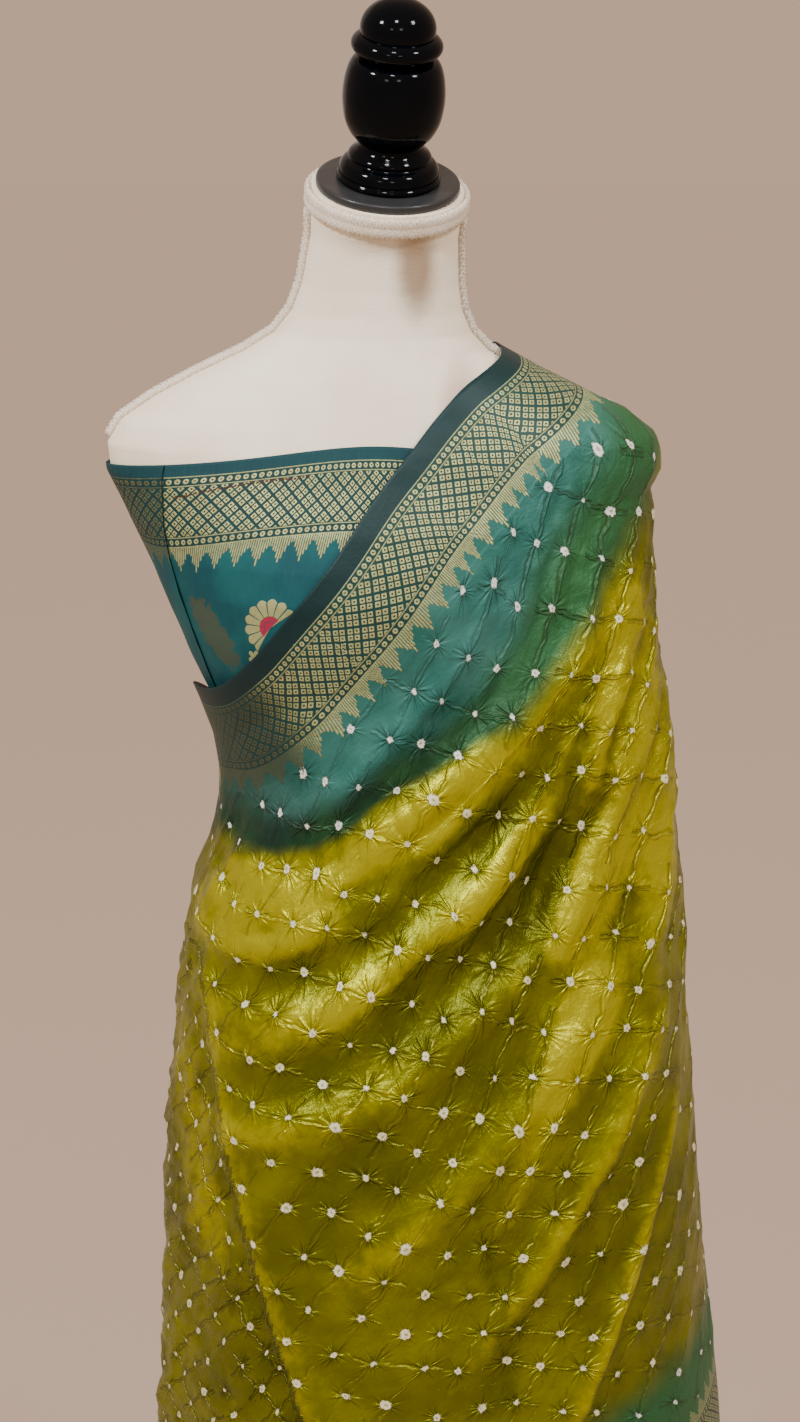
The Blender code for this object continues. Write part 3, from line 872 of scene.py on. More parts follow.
def bust_material():
    finish = Finish("bust_silk", Specular_IOR_Level=0.25)
    u, v = finish.uv("upper")
    turn = finish.value("turn")
    where = finish.place()
    soft = finish.noise(where, 26.0, 3.0)
    outer = (1.0 - turn.step(BUST_END - 0.6, BUST_END)) * (turn > 200.0)
    # The outer end's gold is dimmed as painted shade where it turns away at the left
    gold, bright, hue, woven = zari(finish, u, v + 0.0065, outer * 0.62)
    teal = finish.mix(soft.step(0.3, 0.7), linear(7, 70, 80), linear(15, 88, 92))
    plain = v.step(0.0095, 0.0105)
    ground = finish.mix((1.0 - plain) * 0.8, teal, linear(10, 50, 58))
    ground = finish.mix(woven * 0.85, ground, linear(10, 44, 46))

    # A woven fan flower with its leaf, repeated round the cloth
    a = (u / FLOWER_PITCH + 0.5).math("FRACT") * FLOWER_PITCH - FLOWER_PITCH * 0.5
    b = FLOWER_DEPTH - v
    x = a * math.cos(FLOWER_TILT) + b * math.sin(FLOWER_TILT)
    y = b * math.cos(FLOWER_TILT) - a * math.sin(FLOWER_TILT)
    r = (x * x + y * y).math("SQRT")
    angle = x.math("ARCTAN2", y)
    rim = 0.0195 + 0.0026 * abs((angle * 7.2).math("COSINE"))
    fan = (1.0 - (r - rim).step(-0.0004, 0.0004)) * (1.0 - abs(angle).step(1.75, 1.80))
    vein = abs((angle * 7.2).math("COSINE")).step(0.10, 0.30)
    heart = (1.0 - (r - 0.0090).step(-0.0004, 0.0004)) * (1.0 - abs(angle).step(1.6, 1.7))
    seeds = abs((angle * 5.0).math("SINE")).step(0.15, 0.40)
    seeds = 0.35 + 0.65 * seeds * abs(r - 0.0050).step(0.0003, 0.0009)
    leaf_x, leaf_y = a + 0.0185, b + 0.0225
    leaf_r = (leaf_x * leaf_x + leaf_y * leaf_y).math("SQRT")
    leaf_angle = leaf_x.math("ARCTAN2", leaf_y)
    lobes = abs((leaf_angle * 2.5).math("SINE"))
    leaf = 1.0 - (leaf_r - 0.0026 - 0.0036 * lobes).step(0.0, 0.0005)
    shown = (1.0 - outer) * (u > -0.060)
    motif = (fan * vein * (1.0 - heart) + leaf).math("MINIMUM", 1.0) * shown
    heart = heart * shown

    # The same flower seen from behind, a dull patch with a ragged edge
    c = u + 0.056
    d = b + 0.002
    ragged = finish.noise(where, 150.0, 3.0)
    down_patch = (c * 0.45 - d * 0.89) / 0.036
    over_patch = (c * 0.89 + d * 0.45) / 0.0155
    patch = down_patch * down_patch + over_patch * over_patch
    patch = (1.0 - (patch + (ragged - 0.5) * 2.0).step(0.70, 1.00)) * (1.0 - outer)
    strand = finish.noise(finish.vector(u * 300.0, v * 2200.0), 1.0, 1.0)
    motif_light = 0.80 + 0.5 * (strand - 0.5)
    ground = finish.mix(patch * (0.45 + 0.30 * strand), ground, GOLD_DULL_AND_SHADED)
    gold_all = (gold + motif * 0.95).math("MINIMUM", 1.0)
    light = bright * (gold > 0.02) + motif_light * (gold < 0.02)
    ground = finish.mix(gold_all * (0.94 - 0.3 * outer), ground, gold_colour(finish, light, hue))
    ground = finish.mix(heart * seeds, ground, linear(178, 22, 70))

    # Dark stitches through the woven border
    dip = 0.0250 - 0.006 * (u + 0.085).step(0.0, 0.06) - 0.005 * (1.0 - (u + 0.095).step(-0.02, 0.0))
    wavy = (finish.noise(finish.vector(u * 40.0, 3.0), 1.0, 1.0) - 0.5) * 0.004
    line = abs(v - dip - wavy)
    stitch = (1.0 - line.step(0.0005, 0.0011)) * u.between(-0.078, 0.020, 0.002)
    stitch = stitch * ((u / 0.0032).math("FRACT") < 0.74)
    ground = finish.mix(stitch * 0.9, ground, linear(70, 26, 18))
    weave = finish.noise(finish.vector(u * 320.0, v * 2400.0), 1.0, 1.0)
    slub = finish.noise(finish.vector(u * 900.0, v * 70.0), 1.0, 2.0)
    ground = finish.mix((slub - 0.4) * 0.25, ground, linear(48, 120, 118))
    normal = finish.bump(weave * 0.00008 + gold_all * 0.00022 + soft * 0.0004 + slub * 0.00008, 1.0)
    return finish.set(
        Base_Color=ground,
        Roughness=0.62 + 0.1 * soft - 0.22 * gold_all,
        Metallic=gold_all * 0.4 * (1.0 - outer),
        Normal=normal,
    )


def jersey_material():
    finish = Finish("form_jersey", Specular_IOR_Level=0.12)
    where = finish.place()
    x, y, z = finish.node("ShaderNodeSeparateXYZ", {}, {0: where}, None)
    soft = finish.noise(where, 14.0, 4.0, 0.6)
    slub = finish.noise(finish.vector(x * 240.0, y * 240.0, z * 900.0), 1.0, 2.0)
    speck = finish.noise(where, 620.0, 2.0)

    def stain(cx, cz, wide, tall):
        a, b = (x - cx) / wide, (z - cz) / tall
        far = (a * a + b * b).math("SQRT") + (soft - 0.5) * 1.1
        return (1.0 - far.step(0.25, 1.25)) * (y < 0.0)

    colour = finish.mix(soft.step(0.3, 0.75), linear(254, 247, 228), linear(247, 233, 210))
    colour = finish.mix(stain(0.030, 1.407, 0.017, 0.036) * 0.75, colour, linear(132, 100, 66))
    colour = finish.mix(stain(0.012, 1.428, 0.048, 0.014) * 0.40, colour, linear(160, 132, 98))
    colour = finish.mix(stain(0.062, 1.312, 0.018, 0.036) * 0.55, colour, linear(178, 132, 118))
    colour = finish.mix(stain(-0.150, 1.270, 0.050, 0.018) * 0.18, colour, linear(206, 186, 158))
    colour = finish.mix(speck.step(0.60, 0.85) * 0.22, colour, linear(196, 178, 152))
    normal = finish.bump(slub * 0.00022 + speck * 0.00012, 1.0)
    return finish.set(Base_Color=colour, Roughness=0.82 + 0.1 * soft, Normal=normal)


def gimp_material():
    finish = Finish("gimp_braid", Specular_IOR_Level=0.35)
    where = finish.place()
    grain = finish.noise(where, 1400.0, 2.0)
    soft = finish.noise(where, 40.0, 2.0)
    colour = finish.mix(grain.step(0.3, 0.7), linear(200, 184, 162), linear(252, 246, 234))
    colour = finish.mix(soft.step(0.45, 0.8) * 0.35, colour, linear(206, 188, 160))
    return finish.set(
        Base_Color=colour, Roughness=0.62 + 0.2 * grain, Normal=finish.bump(grain * 0.0004, 1.0)
    )


def lacquer_material(name, grey, rough, shine):
    finish = Finish(name, Specular_IOR_Level=shine, Coat_Roughness=0.04)
    where = finish.place()
    soft = finish.noise(where, 30.0, 3.0)
    x, y, z = finish.node("ShaderNodeSeparateXYZ", {}, {0: where}, None)
    grain = finish.noise(finish.vector(x * 60.0, y * 60.0, z * 900.0), 1.0, 3.0)
    dust = finish.noise(where, 700.0, 2.0).step(0.68, 0.84)
    colour = finish.mix(dust * 0.12 + grey, (0.0004, 0.0012, 0.0024), linear(70, 72, 74))
    normal = finish.bump(grain * 0.00006 + soft * 0.0004, 1.0)
    return finish.set(
        Base_Color=colour,
        Roughness=rough + 0.06 * soft + 0.25 * dust,
        Coat_Weight=0.10 - 0.08 * dust,
        Normal=normal,
    )


def metal_material():
    finish = Finish("black_metal", Specular_IOR_Level=0.5)
    where = finish.place()
    grain = finish.noise(where, 800.0, 2.0)
    soft = finish.noise(where, 18.0, 3.0)
    colour = finish.mix(soft.step(0.4, 0.8) * 0.5, linear(14, 14, 15), linear(34, 33, 33))
    colour = finish.mix(grain.step(0.66, 0.85) * 0.3, colour, linear(80, 78, 75))
    normal = finish.bump(grain * 0.00020, 1.0)
    return finish.set(Base_Color=colour, Roughness=0.34 + 0.2 * soft, Normal=normal)


def floor_material():
    finish = Finish(
        "pale_floor", Roughness=0.95, Specular_IOR_Level=0.05, Emission_Strength=1.0,
        Emission_Color=(0.500, 0.352, 0.256, 1.0),
    )
    where = finish.place()
    soft = finish.noise(where, 1.6, 3.0)
    colour = finish.mix(soft.step(0.2, 0.8), (0.150, 0.118, 0.094), (0.156, 0.123, 0.098))
    return finish.set(Base_Color=colour)


# The cloths


def edge_line(rows, turns):
    height = along(rows, turns)
    radius = saree_radius(turns, height) + CLOTH_THICKNESS
    x, y = radius * np.sin(np.radians(turns)), -radius * np.cos(np.radians(turns))
    return np.stack((x, y, height), axis=-1)


def nearest_on_edge(points, turns, rows):
    """For each grid point, its distance from a cloth edge and its place along that edge."""
    best = np.zeros(points.shape[:2])
    where = np.zeros(points.shape[:2])
    whole = edge_line(rows, np.arange(turns[0], turns[-1] + 0.25, 0.25))
    gone = np.cumsum(np.linalg.norm(np.diff(whole, axis=0), axis=1))
    for chosen, low, high in ((turns < 200.0, -54.0, 260.0), (turns >= 200.0, 140.0, 531.0)):
        fine = np.arange(low, high + 0.25, 0.25)
        line = edge_line(rows, fine)
        start = int(round((low - turns[0]) / 0.25))
        reach = np.concatenate(([0.0], gone))[start : start + len(line)]
        tree = KDTree(len(line))
        for k, point in enumerate(line):
            tree.insert(point, k)
        tree.balance()
        part = points[chosen].reshape(-1, 3)
        near = np.array([tree.find(point)[1] for point in part])
        near = np.clip(near, 1, len(line) - 2)
        ahead = line[near + 1] - line[near - 1]
        length = np.linalg.norm(ahead, axis=-1, keepdims=True)
        slide = ((part - line[near]) * ahead / length).sum(-1)
        slide = np.clip(slide, -0.002, 0.002)
        foot = line[near] + ahead / length * slide[:, None]
        shape = points[chosen].shape[:2]
        best[chosen] = np.linalg.norm(part - foot, axis=-1).reshape(shape)
        where[chosen] = (reach[near] + slide).reshape(shape)
    return best, where


def crease_relief(points, turns, heights):
    """The listed creases, as a lift of the cloth at each point."""
    lift = np.zeros(points.shape[:2])
    for height, half_width, t0, z0, t1, z1, t2, z2 in CREASES:
        share = np.linspace(0.0, 1.0, 25)
        control_turn = 2 * t1 - (t0 + t2) / 2
        control_z = 2 * z1 - (z0 + z2) / 2
        turn = (1 - share) ** 2 * t0 + 2 * share * (1 - share) * control_turn + share**2 * t2
        z = (1 - share) ** 2 * z0 + 2 * share * (1 - share) * control_z + share**2 * z2
        radius = saree_radius(turn, z)
        line = np.stack(
            (radius * np.sin(np.radians(turn)), -radius * np.cos(np.radians(turn)), z), -1
        )
        columns = np.where((turns > turn.min() - 25) & (turns < turn.max() + 25))[0]
        part = points[columns]
        gap = np.full(part.shape[:2], 9.0)
        fade = np.zeros(part.shape[:2])
        for k in range(len(line)):
            d = np.linalg.norm(part - line[k], axis=-1)
            fade = np.where(d < gap, math.sin(math.pi * min(max(share[k], 0.02), 0.98)), fade)
            gap = np.minimum(gap, d)
        shape = np.exp(-((gap / half_width) ** 2))
        lift[columns] += height * fade**0.5 * shape
    return lift


def build_saree_points():
    """The grid of the saree, with what its maker and its folds say at each point."""
    turns = np.concatenate(
        (
            np.linspace(-54.0, 171.0, 36, endpoint=False),
            np.linspace(171.0, 285.0, 76, endpoint=False),
            np.linspace(285.0, 531.0, 238),
        )
    )
    rows = 270
    top, bottom = along(UPPER_EDGE, turns), along(LOWER_EDGE, turns)
    fine = np.linspace(0.0, 1.0, 481)
    z = top[:, None] + (bottom - top)[:, None] * fine[None]
    radius = saree_radius(turns[:, None] + 0.0 * z, z)
    step = np.hypot(np.diff(radius, axis=1), np.diff(z, axis=1))
    reach = np.concatenate((np.zeros((len(turns), 1)), np.cumsum(step, axis=1)), axis=1)
    share = np.linspace(0.0, 1.0, rows + 1)
    heights = np.empty((len(turns), rows + 1))
    radii = np.empty_like(heights)
    for k in range(len(turns)):
        heights[k] = np.interp(share * reach[k, -1], reach[k], z[k])
        radii[k] = np.interp(heights[k][::-1], z[k][::-1], radius[k][::-1])[::-1]
    lean = neck_lean(heights)
    sin, cos = np.sin(np.radians(turns))[:, None], np.cos(np.radians(turns))[:, None]

    def place(r):
        return np.stack(
            (
                NECK_SHIFT_RIGHT * lean + r * sin,
                -NECK_SHIFT_FORWARD * lean**1.5 - r * cos,
                heights,
            ),
            axis=-1,
        )

    points = place(radii + CLOTH_THICKNESS * 0.5)
    v, u = nearest_on_edge(points, turns, UPPER_EDGE)
    w, s = nearest_on_edge(points, turns, LOWER_EDGE)
    drop = share[None] * reach[:, -1:]
    near = smooth_step(drop, 0.16, 0.40)
    v = v * (1 - near) + drop * near

    # Places on the flat cloth for the tied dots: the rows run with the border
    round_x = np.cumsum(
        np.concatenate(([0.0], np.diff(np.radians(turns)) * np.interp(
            (turns[1:] + turns[:-1]) / 2,
            [-54, 171, 285, 360, 420, 450, 500, 531],
            [0.17, 0.17, 0.165, 0.165, 0.235, 0.25, 0.20, 0.165],
        )))
    )[:, None] + 0.0 * heights
    middle = np.interp(360.0, turns, round_x[:, 0])
    x = round_x - middle
    p = x * math.sin(DOT_SLANT) - (heights - 1.248) * math.cos(DOT_SLANT)
    q = -x * math.cos(DOT_SLANT) - heights * math.sin(DOT_SLANT) + DOT_SHEAR * p
    p = p + 0.0070 * value_noise(x * 9.0 + 40.0, heights * 9.0, 5)
    p = p + 0.0030 * value_noise(x * 26.0 + 40.0, heights * 26.0, 6)
    q = q + 0.0100 * value_noise(x * 8.0 + 50.0, heights * 8.0, 7)
    q = q + 0.0035 * value_noise(x * 24.0 + 50.0, heights * 24.0, 8)
    pace = np.interp(q, *zip(*DOT_STEPS))
    fine = np.linspace(DOT_STEPS[0][0], DOT_STEPS[-1][0], 400)
    count = np.cumsum(1.0 / np.interp(fine, *zip(*DOT_STEPS))) * (fine[1] - fine[0])
    p, q = p / DOT_ACROSS + 40.25, np.interp(q, fine, count) + 80.0

    # Lift: listed creases, cords between the dots and the crumple of the tied silk
    bound = np.interp(
        turns, [-54, 270, 300, 330, 360, 385, 400, 420, 435, 450, 480, 531],
        [0.11, 0.105, 0.122, 0.142, 0.165, 0.195, 0.205, 0.190, 0.165, 0.150, 0.150, 0.140],
    )[:, None]
    dye = np.minimum(v - bound, w - 0.140)
    bound_lift = smooth_step(v, 0.075, 0.11) * smooth_step(w, 0.07, 0.10)
    outer = smooth_step(turns, 268.0, 292.0)[:, None]
    laid = crease_relief(points, turns, heights) * outer
    side, lap_drop = lap_side(radii * sin, heights)
    under = np.clip(-side, -0.02, 0.02) * smooth_step(lap_drop, 0.0, 0.02)
    under = under * (smooth_step(turns, 255.0, 262.0) - smooth_step(turns, 366.0, 372.0))[:, None]
    over_right = smooth_step(turns, 384.0, 410.0)[:, None] * smooth_step(heights, 0.62, 0.95)
    at_left = (1.0 - smooth_step(turns, 300.0, 330.0))[:, None] * smooth_step(heights, 0.62, 0.75)
    rumpled = 0.22 + 0.78 * np.clip(over_right + 0.5 * at_left + (under > 0.001), 0.0, 1.0)
    cell_p, cell_q = np.floor(p), np.floor(q)
    a = np.abs(p - cell_p - 0.5) * 2.0
    b = np.abs(q - cell_q - 0.5) * 2.0
    pinch = np.exp(-((a / 0.30) ** 2)) + 0.8 * np.exp(-((b / 0.30) ** 2))
    swell = 0.6 + 0.4 * value_noise(p * 0.9 + 9.0, q * 0.9, 11)
    tied = 0.0016 * pinch * swell
    folds = value_noise(p * 1.6 + 3.0, q * 0.55, 12) + 0.5 * value_noise(p * 3.1, q * 1.3, 13)
    crumple = 1.0 - 2.0 * np.abs(value_noise(p * 2.6 + 7.0, q * 2.2, 14))
    tied = tied + 0.0024 * folds + 0.0009 * crumple
    seen = smooth_step(turns, 150.0, 190.0)[:, None]
    lift = laid + tied * bound_lift * seen * (0.30 + 0.70 * rumpled)
    smooth = 0.0012 * value_noise(p * 0.7, q * 0.35 + 21.0, 15)
    lift = lift + smooth * (1 - bound_lift) * outer
    close = close_radius(turns[:, None] + 0.0 * heights, heights)
    floor = close + 0.0016 + BUST_LIFT * outer * 0.6
    room = np.maximum(radii + CLOTH_THICKNESS * 0.5 - floor, 0.0)
    lift = np.maximum(lift, -np.minimum(room, 0.012))
    normal = grid_normals(points)
    points = points + normal * lift[..., None]

    base = radii - np.apply_along_axis(
        lambda line: np.convolve(np.pad(line, 20, mode="edge"), np.ones(41) / 41, "valid"), 1, radii
    )
    streak = value_noise(p * 0.55 + 3.0, q * 0.16, 22) * 0.12
    sheen = np.zeros_like(radii)
    for x0, z0, x1, z1, half_width, strength in SHEEN:
        run = (x1 - x0) ** 2 + (z1 - z0) ** 2
        on = ((radii * sin - x0) * (x1 - x0) + (heights - z0) * (z1 - z0)) / run
        on = np.clip(on, 0.0, 1.0)
        off = np.hypot(radii * sin - x0 - on * (x1 - x0), heights - z0 - on * (z1 - z0))
        sheen += strength * np.exp(-((off / half_width) ** 2)) * (cos > 0)
    # Painted light and painted shade for the satin: lighter on fold ridges and the bright SHEEN bands,
    # darker in furrows and the shaded bands
    crest = np.clip(0.45 + laid / 0.011 + base / 0.012 + streak + sheen * outer, 0.0, 1.0)
    spin = under > 0.0005
    p = np.where(spin, p * 1.32 + 0.3 * q, p)
    q = np.where(spin, q * 1.30 - 0.5 * p, q)
    values = {"dye": dye, "crest": crest, "under": under, "pace": pace, "rumpled": rumpled}
    return turns, points, {"upper": (u, v), "lower": (s, w), "dots": (p, q)}, values


def turned_hem(points, fold=0.0060, gap=0.0010):
    """Rows to add at a cloth's two long edges, folded back under as narrow hems."""
    normal = grid_normals(points)
    down = points[:, 1] - points[:, 0]
    down /= np.linalg.norm(down, axis=-1, keepdims=True)
    up = points[:, -2] - points[:, -1]
    up /= np.linalg.norm(up, axis=-1, keepdims=True)
    first = [
        points[:, 0] + down * fold - normal[:, 0] * gap,
        points[:, 0] + down * 0.0004 - normal[:, 0] * gap,
        points[:, 0] - down * 0.0001 - normal[:, 0] * gap * 0.4,
    ]
    last = [
        points[:, -1] - up * 0.0001 - normal[:, -1] * gap * 0.4,
        points[:, -1] + up * 0.0004 - normal[:, -1] * gap,
        points[:, -1] + up * fold - normal[:, -1] * gap,
    ]
    return np.concatenate(
        (np.stack(first, axis=1), points, np.stack(last, axis=1)), axis=1
    )


def stretched(values):
    """Values for the hem rows: the edge's own value again."""
    first = np.repeat(values[:, :1], 3, axis=1)
    last = np.repeat(values[:, -1:], 3, axis=1)
    return np.concatenate((first, values, last), axis=1)


# Sizes a user would change


class SareeSizes(PropertyGroup):
    length: FloatProperty(
        name="Length", description="Flat length of the saree", default=2.00, unit="LENGTH"
    )
    width: FloatProperty(
        name="Width", description="Flat width of the saree", default=1.14, unit="LENGTH"
    )
    lime: FloatVectorProperty(
        name="Lime", description="Lime ground in the light", subtype="COLOR",
        default=linear(132, 136, 4), size=3,
    )
    lime_deep: FloatVectorProperty(
        name="Deep lime", description="Lime ground in the folds", subtype="COLOR",
        default=linear(98, 102, 1), size=3,
    )
    teal: FloatVectorProperty(
        name="Teal", description="Ground beside the borders", subtype="COLOR",
        default=linear(26, 92, 84), size=3,
    )
    teal_light: FloatVectorProperty(
        name="Light teal", description="Ground beside the borders, paler", subtype="COLOR",
        default=linear(80, 142, 136), size=3,
    )


class StageSizes(PropertyGroup):
    camera_distance: FloatProperty(
        name="Camera distance", description="From the form's axis", default=1.75, unit="LENGTH"
    )
    camera_height: FloatProperty(
        name="Camera height", description="Above the floor", default=1.53, unit="LENGTH"
    )
    light_strength: FloatProperty(
        name="Light", description="Share of the usual studio light", default=1.0, subtype="FACTOR"
    )


# Operators


class SAREE_OT_drape(Operator):
    """Drape the saree with its borders, tied dots and folds"""

    bl_idname = "saree.drape"
    bl_label = "Drape the saree"

    def execute(self, context):
        sizes = context.scene.saree_sizes
        turns, points, pairs, values = build_saree_points()
        item = grid_object("saree_cloth", turned_hem(points))
        for name, (a, b) in pairs.items():
            add_uv(item, name, np.stack((stretched(a), stretched(b)), axis=-1))
        values["turn"] = turns[:, None] + 0.0 * values["dye"]
        for name, numbers in values.items():
            add_value(item, name, stretched(numbers))
        dress(item, saree_material(sizes), "saree_silk", "saree")
        return {"FINISHED"}


class SAREE_OT_bust(Operator):
    """Wind the bust cloth round the form with its lap at the left front"""

    bl_idname = "saree.bust"
    bl_label = "Wind the bust cloth"

    def execute(self, context):
        turns = np.arange(BUST_START, BUST_END + 0.1, 1.5)
        share = np.linspace(0.0, 1.0, 121)
        rise = np.maximum(0.0, np.cos(np.radians(turns))) ** 1.3
        top = BUST_TOP + BUST_TOP_RISE * rise
        heights = top[:, None] + (BUST_BOTTOM - top)[:, None] * share[None]
        clear = BUST_GAP + LAP_CLEARANCE * (turns - BUST_START) / 360.0 + BUST_THICKNESS * 0.4
        wide = turns[:, None] + 0.0 * heights
        ripple = 0.0006 * (1 + value_noise(wide * 0.05, heights * 60.0, 31))
        points = form_point(wide, heights, clear[:, None] + ripple * 0.8)
        step = np.linalg.norm(np.diff(points[:, 60], axis=0), axis=1)
        reach = np.concatenate(([0.0], np.cumsum(step)))
        down = np.linalg.norm(np.diff(points, axis=1), axis=-1)
        depth = np.concatenate((np.zeros((len(turns), 1)), np.cumsum(down, axis=1)), axis=1)
        flower = np.interp(FLOWER_TURN, turns, reach)
        ended = reach - reach[-1] - 0.110
        u = np.where(turns > 200.0, ended, reach - flower)
        item = grid_object("bust_wrap", turned_hem(points, 0.005, 0.0006))
        pair = np.stack((stretched(u[:, None] + 0.0 * depth), stretched(depth)), axis=-1)
        add_uv(item, "upper", pair)
        add_value(item, "turn", stretched(np.where(wide < 200, wide + 360.0, wide)))
        dress(item, bust_material(), "bust_silk", "bust_cloth")
        return {"FINISHED"}


class SAREE_OT_form(Operator):
    """Cover the form in jersey, from the hip to the top of the neck"""

    bl_idname = "saree.form"
    bl_label = "Cover the form"

    def execute(self, context):
        turns = np.arange(0.0, 360.0, 2.25)
        heights = np.interp(np.arange(0.0, 10.001, 0.055), np.linspace(0, 10, 7),
                            [0.720, 0.90, 1.10, 1.24, 1.31, 1.38, NECK_TOP])
        heights = np.append(heights[heights < NECK_TOP], NECK_TOP)
        wide, high = np.meshgrid(turns, heights[::-1], indexing="ij")
        points = form_point(wide, high)
        item = grid_object("form_cover", points, wrap=True)
        keep_only(item)
        bpy.ops.object.mode_set(mode="EDIT")
        bpy.ops.mesh.select_all(action="DESELECT")
        bpy.ops.mesh.select_non_manifold(extend=False, use_boundary=True)
        bpy.ops.mesh.edge_face_add()
        bpy.ops.mesh.select_all(action="DESELECT")
        bpy.ops.object.mode_set(mode="OBJECT")
        bpy.ops.object.shade_smooth_by_angle(angle=math.radians(50))
        dress(item, jersey_material(), "form_jersey", "dress_form")
        return {"FINISHED"}


def plait(name, path, outward, half_width, depth, pitch, wrap):
    """A flat plait of three strands along a path: the gimp braid's rows of small loops."""
    reach = np.concatenate(([0.0], np.cumsum(np.linalg.norm(np.diff(path, axis=0), axis=1))))
    loops = max(2, round(reach[-1] / pitch))
    count = loops * 8
    at = np.linspace(0.0, reach[-1], count + 1)[: count if wrap else count + 1]
    centre = np.stack([np.interp(at, reach, path[:, k]) for k in range(3)], axis=-1)
    out = np.stack([np.interp(at, reach, outward[:, k]) for k in range(3)], axis=-1)
    ahead = np.gradient(centre, axis=0)
    if wrap:
        ahead = (np.roll(centre, -1, axis=0) - np.roll(centre, 1, axis=0)) / 2.0
    ahead /= np.linalg.norm(ahead, axis=-1, keepdims=True)
    out -= ahead * (out * ahead).sum(-1, keepdims=True)
    out /= np.linalg.norm(out, axis=-1, keepdims=True)
    side = np.cross(ahead, out)
    phase = at / reach[-1] * loops * math.tau
    strand_radius = depth * 0.42
    points, faces = [], []
    ring = 7
    for strand in range(3):
        turn = phase + strand * math.tau / 3.0
        line = centre + side * (half_width - strand_radius) * np.sin(turn)[:, None]
        line = line + out * (depth - strand_radius) * (0.62 + 0.38 * np.sin(2.0 * turn))[:, None]
        heading = np.gradient(line, axis=0)
        if wrap:
            heading = np.roll(line, -1, axis=0) - np.roll(line, 1, axis=0)
        heading /= np.linalg.norm(heading, axis=-1, keepdims=True)
        across = np.cross(heading, out)
        across /= np.linalg.norm(across, axis=-1, keepdims=True)
        above = np.cross(across, heading)
        start = len(points)
        for k in range(len(line)):
            for n in range(ring):
                angle = math.tau * n / ring
                spoke = across[k] * math.cos(angle) * 1.25 + above[k] * math.sin(angle)
                points.append(line[k] + spoke * strand_radius)
        last = len(line) if wrap else len(line) - 1
        for k in range(last):
            here, there = start + k * ring, start + ((k + 1) % len(line)) * ring
            for n in range(ring):
                m = (n + 1) % ring
                faces.append((here + n, here + m, there + m, there + n))
        if not wrap:
            faces.append(tuple(start + n for n in reversed(range(ring))))
            end = start + (len(line) - 1) * ring
            faces.append(tuple(end + n for n in range(ring)))
    mesh = bpy.data.meshes.new(name)
    mesh.from_pydata([tuple(p) for p in points], [], faces)
    mesh.update()
    mesh.shade_smooth()
    item = bpy.data.objects.new(name, mesh)
    bpy.context.scene.collection.objects.link(item)
    keep_only(item)
    bpy.ops.object.mode_set(mode="EDIT")
    bpy.ops.mesh.select_all(action="SELECT")
    bpy.ops.mesh.normals_make_consistent(inside=False)
    bpy.ops.object.mode_set(mode="OBJECT")
    return item


def cap_place():
    """Where the cap sits: on the slanting top of the neck."""
    spot = Matrix.Translation((NECK_SHIFT_RIGHT, -NECK_SHIFT_FORWARD, NECK_TOP))
    return spot @ Euler((CAP_TILT_FORWARD, CAP_TILT_RIGHT, 0.0)).to_matrix().to_4x4()


class SAREE_OT_braid(Operator):
    """Sew the gimp braid round the neck and down both seams"""

    bl_idname = "saree.braid"
    bl_label = "Sew the braid"

    def execute(self, context):
        gimp = gimp_material()
        place = np.array(cap_place())
        turn = np.radians(np.arange(0.0, 361.0, 2.0))
        flat = np.stack((np.sin(turn), -np.cos(turn), 0.0 * turn), axis=-1)
        radius = NECK_RADIUS + 0.0008
        path = flat * radius + np.array((0.0, 0.0, -0.0080))
        path = path @ place[:3, :3].T + place[:3, 3]
        out = flat @ place[:3, :3].T
        item = plait("neck_gimp", path, out, 0.0078, 0.0046, 0.0070, True)
        dress(item, gimp, "gimp_braid", "neck_braid")
        for name, node, side, lowest in (
            ("left_gimp", "left_seam_braid", -90.0, 1.280),
            ("right_gimp", "right_seam_braid", 90.0, 1.333),
        ):
            height = np.linspace(NECK_TOP - 0.0200, lowest, 140)
            wide = np.full_like(height, side)
            path = form_point(wide, height, -0.0002)
            slope = np.gradient(path, axis=0)
            away = np.stack((-slope[:, 2], 0.0 * height, slope[:, 0]), axis=-1)
            away *= np.sign(away[:, :1] * side + 1e-9)
            away /= np.linalg.norm(away, axis=-1, keepdims=True)
            item = plait(name, path, away, 0.0060, 0.0062, 0.0060, False)
            dress(item, gimp, "gimp_braid", node)
        return {"FINISHED"}


def arc(radius, height, bulge_out, bulge_up, start, end, steps):
    """Points on an arc of an oval, with its angles in degrees from straight out."""
    out = []
    for k in range(steps + 1):
        angle = math.radians(start + (end - start) * k / steps)
        out.append((radius + bulge_out * math.cos(angle), height + bulge_up * math.sin(angle)))
    return out


